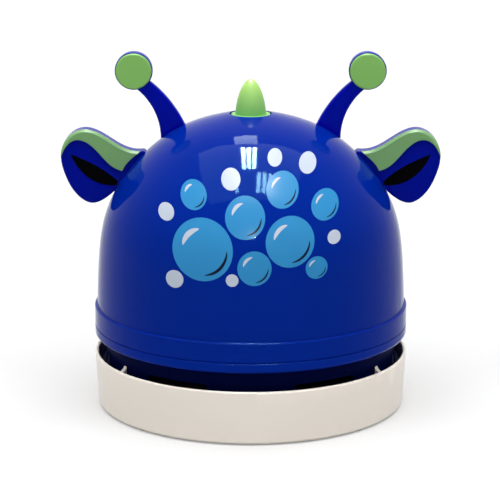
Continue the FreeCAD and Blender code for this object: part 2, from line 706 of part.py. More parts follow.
def filter_frame():
    outer = NECK_INNER_RADIUS - FIT_GAP
    spoke_top = FILTER_TOP - FILTER_PAD_THICKNESS
    half = FILTER_SPOKE_WIDTH / 2
    spoke = block((0, FILTER_OPENING_RADIUS + FILTER_SPOKE_WIDTH), (-half, half), (NECK_LOW, spoke_top))
    solids = [
        tube(outer, FILTER_OPENING_RADIUS, NECK_LOW, FILTER_TOP),
        disc(FILTER_HUB_RADIUS, NECK_LOW, spoke_top),
        tube(FILTER_RING_RADIUS, FILTER_RING_RADIUS - FILTER_RING_WIDTH, NECK_LOW, spoke_top),
    ]
    solids += [around(spoke, azimuth) for azimuth in even_azimuths(FILTER_SPOKES)]
    tab_half = FILTER_TAB_LENGTH / 2
    tab_depth = FILTER_TAB_THICKNESS / 2
    tab_heights = (NECK_LOW - FILTER_TAB_DROP, NECK_LOW)
    solids.append(block((-tab_half, tab_half), (-tab_depth, tab_depth), tab_heights))
    cuts = []
    for azimuth in PLATE_SCREW_AZIMUTHS:
        x, y = spot(PLATE_SCREW_CIRCLE, azimuth)
        cuts.append(disc(SCREW_RECESS_RADIUS, NECK_LOW - OVERRUN, FILTER_TOP + OVERRUN, x, y))
    return trimmed(fused(solids), cuts)


def filter_pad():
    return disc(FILTER_OPENING_RADIUS, FILTER_TOP - FILTER_PAD_THICKNESS, FILTER_TOP)


def fan_inlet_plate():
    outer = NECK_INNER_RADIUS - FIT_GAP
    round_over = INLET_PLATE_THICKNESS / 2
    steps = [
        (outer, FILTER_TOP),
        (outer, INLET_PLATE_TOP),
        (EYE_RADIUS + round_over, INLET_PLATE_TOP),
        ((EYE_RADIUS, INLET_PLATE_TOP - round_over), (EYE_RADIUS + round_over, FILTER_TOP)),
    ]
    plate = revolved((EYE_RADIUS + round_over, FILTER_TOP), steps)
    holes = []
    for azimuth in PLATE_SCREW_AZIMUTHS:
        x, y = spot(PLATE_SCREW_CIRCLE, azimuth)
        holes.append(disc(SCREW_HOLE_RADIUS, FILTER_TOP - OVERRUN, INLET_PLATE_TOP + OVERRUN, x, y))
    return trimmed(plate, holes)


def inlet_plate_screws():
    return screws(PLATE_SCREW_CIRCLE, PLATE_SCREW_AZIMUTHS, FILTER_TOP, PLATE_SCREW_LENGTH)


def fan_housing_screws():
    return screws(FAN_SCREW_CIRCLE, FAN_SCREW_AZIMUTHS, FAN_DECK_LOW, FAN_SCREW_LENGTH)


def blade():
    """Backward-curved blade: two arcs a blade's thickness apart."""
    inner = BLADE_INNER_RADIUS
    outer = IMPELLER_RADIUS - BLADE_OUTER_INSET
    middle = inner + (outer - inner) * BLADE_MID_RADIUS_SHARE
    stations = ((inner, 0.0), (middle, -BLADE_SWEEP * BLADE_MID_SWEEP_SHARE), (outer, -BLADE_SWEEP))
    line = [Vector(*spot(radius, azimuth), BLADE_LOW) for radius, azimuth in stations]
    camber = Part.Arc(*line)
    front, back = [], []
    for point in line:
        along = camber.tangent(camber.parameter(point))[0]
        side = Vector(-along.y, along.x, 0) * (BLADE_THICKNESS / 2)
        front.append(point + side)
        back.append(point - side)
    edges = [
        Part.Arc(*front).toShape(),
        Part.LineSegment(front[2], back[2]).toShape(),
        Part.Arc(back[2], back[1], back[0]).toShape(),
        Part.LineSegment(back[0], front[0]).toShape(),
    ]
    return Part.Face(Part.Wire(edges)).extrude(Vector(0, 0, BLADE_HEIGHT))


def impeller():
    nose = BLADE_LOW - HUB_NOSE
    slack = HUB_FLARE * (1 - math.sqrt(0.5))
    steps = [
        (HUB_RADIUS - HUB_NOSE, nose),
        (HUB_RADIUS, BLADE_LOW),
        (HUB_RADIUS, BLADE_TOP - HUB_FLARE),
        ((HUB_RADIUS + slack, BLADE_TOP - slack), (HUB_RADIUS + HUB_FLARE, BLADE_TOP)),
        (IMPELLER_RADIUS, BLADE_TOP),
        (IMPELLER_RADIUS, IMPELLER_TOP),
        (HUB_RADIUS, IMPELLER_TOP),
        (HUB_RADIUS, IMPELLER_TOP + HUB_RISE),
        (SHAFT_RADIUS, IMPELLER_TOP + HUB_RISE),
    ]
    body = revolved((SHAFT_RADIUS, nose), steps)
    return fused([body] + [around(blade(), azimuth) for azimuth in even_azimuths(BLADE_COUNT)])


# Housings

def dome_solid(inset):
    """Solid inside the dome's outline, drawn in by a wall."""
    radius = DOME_RADIUS - inset
    height = DOME_HEIGHT - inset
    points = [Vector(radius * across, 0, LEDGE_HEIGHT + height * up) for across, up in DOME_SHARES]
    curve = Part.BSplineCurve()
    curve.interpolate(Points=points, InitialTangent=Vector(0, 0, 1), FinalTangent=Vector(-1, 0, 0))
    floor = Vector(0, 0, LEDGE_HEIGHT)
    edges = [
        Part.LineSegment(floor, points[0]).toShape(),
        curve.toShape(),
        Part.LineSegment(points[-1], floor).toShape(),
    ]
    return Part.Face(Part.Wire(edges)).revolve(Vector(0, 0, 0), Vector(0, 0, 1), 360)


def band_solid():
    top_round = rounded((BAND_RADIUS, LEDGE_HEIGHT), (0, -1), (-1, 0), LEDGE_EDGE_ROUND)
    groove = [(BAND_RADIUS - SEAM_GROOVE, SEAM_HEIGHT), (BAND_RADIUS, SEAM_HEIGHT + SEAM_GROOVE)]
    return revolved((0, SEAM_HEIGHT), groove + top_round + [(0, LEDGE_HEIGHT)])


def door_outline(gap):
    """Prism through the rear wall for the door or, with no gap, for its opening."""
    span = (0, BAND_RADIUS + OVERRUN)
    panel = block((-DOOR_HALF_WIDTH + gap, DOOR_HALF_WIDTH - gap), span, (DOOR_LOW + gap, DOOR_HIGH - gap))
    tab_width = DOOR_TAB_HALF_WIDTH - gap
    tab = block((-tab_width, tab_width), span, (DOOR_LOW + gap, DOOR_HIGH + DOOR_TAB_HEIGHT - gap))
    return fused([panel, tab])


def dome_point(shares):
    """Place across and up, from shares of the dome's radius and height."""
    return DOME_RADIUS * shares[0], LEDGE_HEIGHT + DOME_HEIGHT * shares[1]


def ear_tab(side, gap=0.0):
    ends = sorted((side * (EAR_TAB_X - gap), side * (EAR_TAB_X + EAR_TAB_REACH)))
    middle = EAR_BACK + EAR_THICKNESS / 2
    half = EAR_TAB_THICKNESS / 2 + gap
    heights = (EAR_TAB_LOW - gap, EAR_TAB_LOW + EAR_TAB_HEIGHT + gap)
    return block(ends, (middle - half, middle + half), heights)


def antenna_tab(side, gap=0.0):
    near, low = dome_point(ANTENNA_TAB_SHARES)
    ends = sorted((side * (near - gap), side * (near + ANTENNA_TAB_WIDTH + gap)))
    middle = ANTENNA_BACK + ANTENNA_THICKNESS / 2
    half = ANTENNA_TAB_THICKNESS / 2 + gap
    return block(ends, (middle - half, middle + half), (low - gap, low + ANTENNA_TAB_HEIGHT + gap))


def upper_housing():
    outer = fused([band_solid(), dome_solid(0)])
    hollow = fused([disc(BAND_INNER_RADIUS, SEAM_HEIGHT - OVERRUN, LEDGE_HEIGHT), dome_solid(SHELL_WALL)])
    shell = outer.cut(hollow)
    guide_top = HORN_FLANGE_TOP
    inner = [tube(HORN_HOLE_RADIUS + GUIDE_WALL, HORN_HOLE_RADIUS, GUIDE_LOW, guide_top)]
    cuts = [disc(HORN_HOLE_RADIUS, GUIDE_LOW - OVERRUN, HORN_FLANGE_TOP + HORN_HEIGHT)]
    for side in SIDES:
        x = side * BOARD_SCREW_SPACING / 2
        inner.append(disc(BOSS_RADIUS, BOARD_TOP, guide_top, x, 0))
        cuts.append(disc(SCREW_RADIUS, BOARD_TOP - OVERRUN, BOARD_LOW + BOARD_SCREW_LENGTH, x, 0))
        cuts.append(ear_tab(side, FIT_GAP))
        cuts.append(antenna_tab(side, FIT_GAP))
    post_low = MOTOR_DECK_TOP + HOUSING_BOSS_HEIGHT
    for azimuth in HOUSING_SCREW_AZIMUTHS:
        x, y = spot(HOUSING_SCREW_CIRCLE, azimuth)
        inner.append(disc(BOSS_RADIUS, post_low, post_low + HOUSING_POST_HEIGHT, x, y))
        half = HOUSING_POST_WEB / 2
        web_heights = (MOTOR_DECK_TOP + LIP_RISE + SHELL_WALL, post_low + HOUSING_POST_HEIGHT)
        web = block((HOUSING_SCREW_CIRCLE, BAND_INNER_RADIUS + FIT_GAP), (-half, half), web_heights)
        inner.append(around(web, azimuth))
        cuts.append(disc(SCREW_RADIUS, post_low - OVERRUN, housing_screw_seat() + HOUSING_SCREW_LENGTH, x, y))
    cuts.append(door_outline(0))
    return trimmed(fused([shell, fused(inner).common(outer)]), cuts)


def housing_screw_seat():
    return BAND_LOW + HOUSING_SCREW_RECESS


def motor_outline(radius, flat_half, low, high):
    return disc(radius, low, high).common(block((-radius, radius), (-flat_half, flat_half), (low, high)))


def lower_housing():
    low_round = rounded((BAND_RADIUS, BAND_LOW), (-1, 0), (0, 1), BAND_EDGE_ROUND)
    steps = low_round + [
        (BAND_RADIUS, SEAM_HEIGHT - SEAM_GROOVE),
        (BAND_RADIUS - SEAM_GROOVE, SEAM_HEIGHT),
        (BAND_INNER_RADIUS - FIT_GAP, SEAM_HEIGHT),
        (BAND_INNER_RADIUS - FIT_GAP, SEAM_HEIGHT + LIP_RISE),
        (BAND_INNER_RADIUS - FIT_GAP - LIP_WALL, SEAM_HEIGHT + LIP_RISE),
        (BAND_INNER_RADIUS - FIT_GAP - LIP_WALL, MOTOR_DECK_TOP),
        (0, MOTOR_DECK_TOP),
    ]
    solids = [revolved((0, BAND_LOW), steps)]
    cuts = [disc(MOTOR_BOSS_RADIUS + FIT_GAP, BAND_LOW - OVERRUN, MOTOR_DECK_TOP + OVERRUN)]
    cradle_outer = MOTOR_RADIUS + FIT_GAP + CRADLE_WALL
    cradle_flat = MOTOR_FLAT_HALF + FIT_GAP + CRADLE_WALL
    cradle_top = MOTOR_DECK_TOP + CRADLE_HEIGHT
    solids.append(motor_outline(cradle_outer, cradle_flat, MOTOR_DECK_TOP, cradle_top))
    room = (MOTOR_RADIUS + FIT_GAP, MOTOR_FLAT_HALF + FIT_GAP)
    cuts.append(motor_outline(*room, MOTOR_DECK_TOP, cradle_top + OVERRUN))
    for side in SIDES:
        post_x = side * BRACKET_POST_SPACING / 2
        solids.append(disc(BOSS_RADIUS, MOTOR_DECK_TOP, END_CAP_TOP, post_x, 0))
        web_ends = sorted((side * (MOTOR_RADIUS + FIT_GAP), post_x))
        half = CRADLE_WALL / 2
        solids.append(block(web_ends, (-half, half), (MOTOR_DECK_TOP, cradle_top)))
        cuts.append(motor_bracket_hole(post_x))
        lug_x = side * TRAY_LUG_X
        solids.append(disc(BOSS_RADIUS, MOTOR_DECK_TOP, TRAY_LOW, lug_x, tray_lug_y()))
        hole_low = TRAY_LOW + TRAY_LUG_THICKNESS - TRAY_SCREW_LENGTH
        cuts.append(disc(SCREW_RADIUS, hole_low, TRAY_LOW + OVERRUN, lug_x, tray_lug_y()))
    for azimuth in FAN_SCREW_AZIMUTHS:
        x, y = spot(FAN_SCREW_CIRCLE, azimuth)
        solids.append(disc(BOSS_RADIUS, MOTOR_DECK_TOP, MOTOR_DECK_TOP + FAN_SCREW_BOSS_HEIGHT, x, y))
        cuts.append(disc(SCREW_RADIUS, BAND_LOW - OVERRUN, FAN_DECK_LOW + FAN_SCREW_LENGTH, x, y))
    for azimuth in HOUSING_SCREW_AZIMUTHS:
        x, y = spot(HOUSING_SCREW_CIRCLE, azimuth)
        solids.append(disc(BOSS_RADIUS, MOTOR_DECK_TOP, MOTOR_DECK_TOP + HOUSING_BOSS_HEIGHT, x, y))
        hole_top = MOTOR_DECK_TOP + HOUSING_BOSS_HEIGHT + OVERRUN
        cuts.append(disc(SCREW_HOLE_RADIUS, BAND_LOW - OVERRUN, hole_top, x, y))
        cuts.append(disc(SCREW_RECESS_RADIUS, BAND_LOW - OVERRUN, housing_screw_seat(), x, y))
    return trimmed(fused(solids), cuts)


def housing_screws():
    return screws(HOUSING_SCREW_CIRCLE, HOUSING_SCREW_AZIMUTHS, housing_screw_seat(), HOUSING_SCREW_LENGTH)


# Motor

def motor_room():
    """Radius and flat half of the space inside the can."""
    return MOTOR_RADIUS - MOTOR_CAN_WALL, MOTOR_FLAT_HALF - MOTOR_CAN_WALL


def motor_can():
    outer = motor_outline(MOTOR_RADIUS, MOTOR_FLAT_HALF, MOTOR_LOW, CAN_TOP)
    boss = disc(MOTOR_BOSS_RADIUS, MOTOR_LOW - MOTOR_BOSS_HEIGHT, MOTOR_LOW + MOTOR_CAN_WALL)
    inner = motor_outline(*motor_room(), MOTOR_LOW + MOTOR_CAN_WALL, CAN_TOP + OVERRUN)
    bore = disc(BUSHING_RADIUS, MOTOR_LOW - MOTOR_BOSS_HEIGHT - OVERRUN, CAN_TOP)
    return trimmed(fused([outer, boss]), [inner, bore])


def motor_end_cap():
    solids = [
        motor_outline(MOTOR_RADIUS, MOTOR_FLAT_HALF, CAN_TOP, END_CAP_TOP),
        motor_outline(*motor_room(), CAN_TOP - END_CAP_PLUG, CAN_TOP),
        disc(END_BOSS_RADIUS, END_CAP_TOP, END_BOSS_TOP),
    ]
    bore = disc(BUSHING_RADIUS, CAN_TOP - END_CAP_PLUG - OVERRUN, END_BOSS_TOP + OVERRUN)
    return trimmed(fused(solids), [bore])


def bushing_spans():
    front = MOTOR_LOW - MOTOR_BOSS_HEIGHT + FIT_GAP
    rear = END_BOSS_TOP - FIT_GAP
    return (front, front + BUSHING_LENGTH), (rear - BUSHING_LENGTH, rear)


def motor_bushings():
    bore = SHAFT_RADIUS + SHAFT_GAP
    return Part.makeCompound([tube(BUSHING_RADIUS, bore, low, high) for low, high in bushing_spans()])


def motor_magnets():
    low = MOTOR_LOW + MAGNET_RISE
    outer, flat_half = motor_room()
    ring = tube(outer, MAGNET_INNER_RADIUS, low, low + MAGNET_LENGTH)
    half = flat_half - FIT_GAP
    arcs = []
    for side in SIDES:
        ends = sorted((side * (ARMATURE_HUB_RADIUS + FIT_GAP), side * (outer + OVERRUN)))
        arcs.append(ring.common(block(ends, (-half, half), (low, low + MAGNET_LENGTH))))
    return Part.makeCompound(arcs)


def motor_shaft():
    return disc(SHAFT_RADIUS, BLADE_LOW - HUB_NOSE, END_BOSS_TOP + SHAFT_TOP_RISE)


def armature_core():
    shoe_inner = ARMATURE_RADIUS - POLE_SHOE_THICKNESS
    half = POLE_STEM_WIDTH / 2
    slot_half = POLE_SLOT_WIDTH / 2
    spans = (ARMATURE_LOW, ARMATURE_TOP)
    slot = block((ARMATURE_HUB_RADIUS, ARMATURE_RADIUS + OVERRUN), (-slot_half, slot_half), spans)
    stem = block((0, shoe_inner + POLE_SHOE_THICKNESS / 2), (-half, half), spans)
    half_step = 360.0 / ARMATURE_POLES / 2
    slots = [around(slot, azimuth) for azimuth in even_azimuths(ARMATURE_POLES, half_step)]
    shoes = trimmed(tube(ARMATURE_RADIUS, shoe_inner, *spans), slots)
    solids = [shoes, disc(ARMATURE_HUB_RADIUS, *spans)]
    solids += [around(stem, angle) for angle in even_azimuths(ARMATURE_POLES)]
    return trimmed(fused(solids), [disc(SHAFT_RADIUS, ARMATURE_LOW - OVERRUN, ARMATURE_TOP + OVERRUN)])


def armature_windings():
    inner = ARMATURE_HUB_RADIUS + FIT_GAP
    outer = ARMATURE_RADIUS - POLE_SHOE_THICKNESS - FIT_GAP
    half = POLE_STEM_WIDTH / 2
    coil = block(
        (inner, outer), (-WINDING_HALF_WIDTH, WINDING_HALF_WIDTH),
        (ARMATURE_LOW - WINDING_OVERHANG, ARMATURE_TOP + WINDING_OVERHANG),
    )
    coil = coil.makeFillet(WINDING_ROUND, edges_along(coil, Vector(1, 0, 0)))
    stem = block((0, ARMATURE_RADIUS), (-half, half), (ARMATURE_LOW, ARMATURE_TOP))
    hub = disc(ARMATURE_HUB_RADIUS, ARMATURE_LOW - OVERRUN, ARMATURE_TOP + OVERRUN)
    room = disc(outer, ARMATURE_LOW - OVERRUN, ARMATURE_TOP + OVERRUN)
    wound = trimmed(coil.common(room), [stem, hub])
    return Part.makeCompound([around(wound, angle) for angle in even_azimuths(ARMATURE_POLES)])


def commutator():
    return tube(COMMUTATOR_RADIUS, SHAFT_RADIUS, COMMUTATOR_LOW, COMMUTATOR_LOW + COMMUTATOR_LENGTH)


def motor_brushes():
    near = COMMUTATOR_RADIUS + BRUSH_GAP
    half = BRUSH_WIDTH / 2
    leaves = []
    for side in SIDES:
        ends = sorted((side * near, side * (near + BRUSH_THICKNESS)))
        leaves.append(block((-half, half), ends, (COMMUTATOR_LOW + FIT_GAP, CAN_TOP - END_CAP_PLUG)))
    return Part.makeCompound(leaves)


def motor_terminals():
    half = TERMINAL_WIDTH / 2
    tabs = []
    for side in SIDES:
        middle = side * TERMINAL_OFFSET
        depths = (middle - TERMINAL_THICKNESS / 2, middle + TERMINAL_THICKNESS / 2)
        tabs.append(block((-half, half), depths, (END_CAP_TOP, END_CAP_TOP + TERMINAL_HEIGHT)))
    return Part.makeCompound(tabs)


def motor_bracket_hole(x):
    low = END_CAP_TOP + BRACKET_THICKNESS - BRACKET_SCREW_LENGTH
    return disc(SCREW_RADIUS, low, END_CAP_TOP + OVERRUN, x, 0)


def motor_bracket():
    half_length = BRACKET_LENGTH / 2
    half_width = BRACKET_WIDTH / 2
    top = END_CAP_TOP + BRACKET_THICKNESS
    bar = block((-half_length, half_length), (-half_width, half_width), (END_CAP_TOP, top))
    bar = bar.makeFillet(BRACKET_END_ROUND, edges_along(bar, Vector(0, 0, 1)))
    cuts = [disc(END_BOSS_RADIUS + FIT_GAP, END_CAP_TOP - OVERRUN, top + OVERRUN)]
    for side in SIDES:
        x = side * BRACKET_POST_SPACING / 2
        cuts.append(disc(SCREW_HOLE_RADIUS, END_CAP_TOP - OVERRUN, top + OVERRUN, x, 0))
    return trimmed(bar, cuts)


def bracket_screws():
    seat = END_CAP_TOP + BRACKET_THICKNESS
    spots = [side * BRACKET_POST_SPACING / 2 for side in SIDES]
    return Part.makeCompound([screw(x, 0, seat, BRACKET_SCREW_LENGTH, up=-1) for x in spots])


# Batteries

def along_x(radius, start, end, y, z):
    return Part.makeCylinder(radius, end - start, Vector(start, y, z), Vector(1, 0, 0))


def battery(index):
    """Cell 0 has its nub at +X and cell 1 at -X."""
    side = 1 if index == 0 else -1
    z = CELL_HEIGHTS[index]
    nub_end = side * (TRAY_HALF_LENGTH - PLATE_THICKNESS)
    shoulder = nub_end - side * CELL_NUB_HEIGHT
    flat_end = nub_end - side * CELL_LENGTH
    can_low, can_high = sorted((shoulder, flat_end))
    can = along_x(CELL_RADIUS, can_low, can_high, CELL_BACK_OFFSET, z)
    can = can.makeFillet(CELL_SHOULDER_ROUND, [edge for edge in can.Edges if edge.Closed])
    nub_low, nub_high = sorted((shoulder, nub_end))
    return can.fuse(along_x(CELL_NUB_RADIUS, nub_low, nub_high, CELL_BACK_OFFSET, z))


def tray_lug_y():
    return TRAY_FRONT - TRAY_LUG_REACH / 2


def battery_tray():
    outer_half = TRAY_HALF_LENGTH + TRAY_WALL
    shell = block((-outer_half, outer_half), (TRAY_FRONT, DOME_RADIUS), (TRAY_LOW, TRAY_HIGH))
    shell = shell.common(dome_solid(SHELL_WALL + TRAY_DOOR_GAP))
    cuts = []
    for z in CELL_HEIGHTS:
        cuts.append(along_x(CHANNEL_RADIUS, -TRAY_HALF_LENGTH, TRAY_HALF_LENGTH, CELL_BACK_OFFSET, z))
        mouth = (z - CHANNEL_RADIUS, z + CHANNEL_RADIUS)
        cuts.append(block((-TRAY_HALF_LENGTH, TRAY_HALF_LENGTH), (CELL_BACK_OFFSET, DOME_RADIUS), mouth))
    half = SOLDER_TAB_WIDTH / 2
    plate_half = PLATE_WIDTH / 2
    for z in CELL_HEIGHTS:
        for side in SIDES:
            ends = sorted((side * (TRAY_HALF_LENGTH - PLATE_THICKNESS), side * TRAY_HALF_LENGTH))
            front = TRAY_FRONT - OVERRUN
            cuts.append(block(ends, (front, CELL_BACK_OFFSET), (z - half, z + half)))
            heights = (z - plate_half, z + plate_half)
            cuts.append(block(ends, (CELL_BACK_OFFSET - plate_half, CELL_BACK_OFFSET), heights))
    bridge_ends = (TRAY_HALF_LENGTH - PLATE_THICKNESS, TRAY_HALF_LENGTH)
    cuts.append(block(bridge_ends, (CELL_BACK_OFFSET - plate_half, DOME_RADIUS), CELL_HEIGHTS))
    solids = [trimmed(shell, cuts)]
    for side in SIDES:
        x = side * TRAY_LUG_X
        y = tray_lug_y()
        lug = disc(TRAY_LUG_REACH / 2, TRAY_LOW, TRAY_LOW + TRAY_LUG_THICKNESS, x, y)
        reach = (x - TRAY_LUG_REACH / 2, x + TRAY_LUG_REACH / 2)
        neck = block(reach, (y, TRAY_FRONT + TRAY_WALL / 2), (TRAY_LOW, TRAY_LOW + TRAY_LUG_THICKNESS))
        hole = disc(SCREW_HOLE_RADIUS, TRAY_LOW - OVERRUN, TRAY_LOW + TRAY_LUG_THICKNESS + OVERRUN, x, y)
        solids.append(trimmed(fused([lug, neck]), [hole]))
    boss_back = door_boss_back()
    boss_front = boss_back - DOOR_BOSS_DEPTH
    boss_heights = (TRAY_HIGH - TRAY_WALL / 2, DOOR_SCREW_HEIGHT + BOSS_RADIUS)
    solids.append(block((-BOSS_RADIUS, BOSS_RADIUS), (boss_front, boss_back), boss_heights))
    start = Vector(0, boss_front + TRAY_WALL, DOOR_SCREW_HEIGHT)
    bore = Part.makeCylinder(SCREW_RADIUS + FIT_GAP, DOOR_BOSS_DEPTH + OVERRUN, start, Vector(0, 1, 0))
    return fused(solids).cut(bore)


def tray_screws():
    seat = TRAY_LOW + TRAY_LUG_THICKNESS
    spots = [side * TRAY_LUG_X for side in SIDES]
    return Part.makeCompound([screw(x, tray_lug_y(), seat, TRAY_SCREW_LENGTH, up=-1) for x in spots])


def contact_plates():
    """One bridge at +X joins the cells, and two plates with solder tabs stand at -X."""
    half = PLATE_WIDTH / 2
    tab_half = SOLDER_TAB_WIDTH / 2
    widths = (CELL_BACK_OFFSET - half, CELL_BACK_OFFSET + half)
    right = (TRAY_HALF_LENGTH - PLATE_THICKNESS, TRAY_HALF_LENGTH)
    left = (-TRAY_HALF_LENGTH, -TRAY_HALF_LENGTH + PLATE_THICKNESS)
    plates = [block(right, widths, (CELL_HEIGHTS[0] - half, CELL_HEIGHTS[1] + half))]
    for z in CELL_HEIGHTS:
        plate = block(left, widths, (z - half, z + half))
        tab = block(left, (TRAY_FRONT - SOLDER_TAB_REACH, CELL_BACK_OFFSET), (z - tab_half, z + tab_half))
        plates.append(fused([plate, tab]))
    return Part.makeCompound(plates)


def contact_leaves():
    """Bent spring leaf at each cell's flat end."""
    leaves = []
    for index, side in enumerate((-1, 1)):
        z = CELL_HEIGHTS[index]
        plate_x = side * (TRAY_HALF_LENGTH - PLATE_THICKNESS)
        tip_x = plate_x - side * LEAF_REACH
        half = PLATE_WIDTH / 2
        step = -side * LEAF_THICKNESS
        foot_x = plate_x - side * LEAF_REACH / 2
        foot_z = z - half * LEAF_FOOT_SHARE
        outline = [
            (plate_x, z + half), (tip_x, z), (foot_x, foot_z),
            (foot_x - step, foot_z), (tip_x - step, z), (plate_x, z + half - 2 * LEAF_THICKNESS),
        ]
        back = CELL_BACK_OFFSET - LEAF_WIDTH / 2
        points = [Vector(x, back, height) for x, height in outline]
        face = Part.Face(Part.makePolygon(points + points[:1]))
        leaves.append(face.extrude(Vector(0, LEAF_WIDTH, 0)))
    return Part.makeCompound(leaves)


def dome_depth(height, inset):
    """Rear Y of the dome's wall at x = 0, found on the drawn-in outline."""
    ray = Part.LineSegment(Vector(0, 0, height), Vector(0, DOME_RADIUS + OVERRUN, height)).toShape()
    return ray.common(dome_solid(inset)).BoundBox.YMax


def door_boss_back():
    return dome_depth(DOOR_SCREW_HEIGHT + BOSS_RADIUS, SHELL_WALL) - DOOR_BOSS_GAP


def door_screw_seat():
    return dome_depth(DOOR_SCREW_HEIGHT, 0) - SCREW_HEAD_HEIGHT


def battery_door():
    wall = dome_solid(0).cut(dome_solid(SHELL_WALL))
    panel = wall.common(door_outline(SLIDE_GAP))
    rib_z = (CELL_HEIGHTS[0] + CELL_HEIGHTS[1]) / 2
    half = DOOR_RIB_THICKNESS / 2
    ribs = []
    for z in (rib_z - CELL_RADIUS, rib_z, rib_z + CELL_RADIUS):
        slab = block((-DOOR_RIB_HALF_WIDTH, DOOR_RIB_HALF_WIDTH), (0, DOME_RADIUS), (z - half, z + half))
        ribs.append(slab.common(dome_solid(SHELL_WALL / 2).cut(dome_solid(SHELL_WALL + DOOR_RIB_DEPTH))))
    direction = Vector(0, 1, 0)
    start = Vector(0, 0, DOOR_SCREW_HEIGHT)
    hole = Part.makeCylinder(SCREW_HOLE_RADIUS, DOME_RADIUS, start, direction)
    recess_start = Vector(0, door_screw_seat(), DOOR_SCREW_HEIGHT)
    recess = Part.makeCylinder(SCREW_RECESS_RADIUS, DOME_RADIUS, recess_start, direction)
    return trimmed(fused([panel] + ribs), [hole, recess])


def door_screw():
    upright = screw(0, 0, 0, DOOR_SCREW_LENGTH, up=-1)
    upright.rotate(Vector(0, 0, 0), Vector(1, 0, 0), -90)
    upright.translate(Vector(0, door_screw_seat(), DOOR_SCREW_HEIGHT))
    return upright


# Horn button and switch

def horn_button():
    foot = Vector(0, 0, HORN_FLANGE_TOP)
    tip = foot + Vector(0, 0, HORN_HEIGHT)
    rim = foot + Vector(HORN_RADIUS, 0, 0)
    bows = [foot + Vector(HORN_RADIUS * across, 0, HORN_HEIGHT * up) for across, up in HORN_POLE_SHARES]
    flank = Part.BezierCurve()
    flank.setPoles([tip] + bows + [rim])
    edges = [
        flank.toShape(),
        Part.LineSegment(rim, foot).toShape(),
        Part.LineSegment(foot, tip).toShape(),
    ]
    horn = Part.Face(Part.Wire(edges)).revolve(Vector(0, 0, 0), Vector(0, 0, 1), 360)
    skirt = tube(HORN_FLANGE_RADIUS, HORN_FLANGE_RADIUS - HORN_SKIRT_WALL, HORN_SKIRT_LOW, HORN_FLANGE_TOP)
    plate = disc(HORN_FLANGE_RADIUS, HORN_PLATE_LOW, HORN_FLANGE_TOP)
    stop = tube(HORN_STOP_RADIUS, HORN_FLANGE_RADIUS - HORN_SKIRT_WALL, HORN_SKIRT_LOW, HORN_STOP_TOP)
    hub = disc(HORN_HUB_RADIUS, PLUNGER_TOP, HORN_FLANGE_TOP)
    return fused([horn, skirt, plate, stop, hub])


def switch_plunger():
    half = PLUNGER_WIDTH / 2
    return block((-half, half), (-half, half), (SWITCH_TOP - PLUNGER_DEPTH, PLUNGER_TOP))


def switch_body():
    half = SWITCH_WIDTH / 2
    well = PLUNGER_WIDTH / 2 + PLUNGER_GAP
    case = block((-half, half), (-half, half), (BOARD_TOP, SWITCH_TOP))
    well_heights = (SWITCH_TOP - PLUNGER_WELL_DEPTH, SWITCH_TOP + OVERRUN)
    case = case.cut(block((-well, well), (-well, well), well_heights))
    return fused([case] + [disc(PIN_RADIUS, BOARD_LOW - PIN_DROP, BOARD_TOP, x, y) for x, y in pin_spots()])


def pin_spots():
    return [(column * PIN_PITCH, row * PIN_PITCH) for column in (-1, 0, 1) for row in (-1, 1)]


def switch_board():
    half_length = BOARD_LENGTH / 2
    half_width = BOARD_WIDTH / 2
    board = block((-half_length, half_length), (-half_width, half_width), (BOARD_LOW, BOARD_TOP))
    holes = [disc(PIN_RADIUS, BOARD_LOW - OVERRUN, BOARD_TOP + OVERRUN, x, y) for x, y in pin_spots()]
    for side in SIDES:
        x = side * BOARD_SCREW_SPACING / 2
        holes.append(disc(SCREW_HOLE_RADIUS, BOARD_LOW - OVERRUN, BOARD_TOP + OVERRUN, x, 0))
    return trimmed(board, holes)


def board_screws():
    spots = [side * BOARD_SCREW_SPACING / 2 for side in SIDES]
    return Part.makeCompound([screw(x, 0, BOARD_LOW, BOARD_SCREW_LENGTH) for x in spots])


# Antennae and ears, drawn on the right side

def antenna_disc_centre(y):
    x, z = dome_point(ANTENNA_DISC_SHARES)
    return Vector(x, y, z)


def antenna_cap_right():
    front = ANTENNA_BACK - ANTENNA_CAP_RISE
    back = ANTENNA_BACK + ANTENNA_CAP_SOCKET
    centre = antenna_disc_centre(front)
    cap = Part.makeCylinder(ANTENNA_CAP_RADIUS, back - front, centre, Vector(0, 1, 0))
    rim = [edge for edge in cap.Edges if edge.Closed and abs(edge.CenterOfMass.y - front) < FIT_GAP]
    return cap.makeFillet(ANTENNA_CAP_BEVEL, rim)


def antenna_right():
    inner = [Vector(x, ANTENNA_BACK, z) for x, z in map(dome_point, ANTENNA_INNER_SHARES)]
    outer = [Vector(x, ANTENNA_BACK, z) for x, z in map(dome_point, ANTENNA_OUTER_SHARES)]
    edges = [
        Part.Arc(*inner).toShape(),
        Part.LineSegment(inner[2], outer[0]).toShape(),
        Part.Arc(*outer).toShape(),
        Part.LineSegment(outer[2], inner[0]).toShape(),
    ]
    stalk = extruded(edges, ANTENNA_THICKNESS)
    rims = [edge for edge in stalk.Edges if isinstance(edge.Curve, Part.Circle)]
    stalk = stalk.makeFillet(ANTENNA_EDGE_ROUND, rims)
    centre = antenna_disc_centre(ANTENNA_BACK)
    button = Part.makeCylinder(ANTENNA_DISC_RADIUS, ANTENNA_THICKNESS, centre, Vector(0, 1, 0))
    button = button.makeFillet(ANTENNA_DISC_ROUND, [edge for edge in button.Edges if edge.Closed])
    outside = fused([stalk, button]).cut(dome_solid(0))
    return fused([outside, antenna_tab(1)]).cut(antenna_cap_right())


def ear_point(shares):
    return EAR_ROOT_X + (EAR_TIP_X - EAR_ROOT_X) * shares[0], EAR_LOW + EAR_HEIGHT * shares[1]


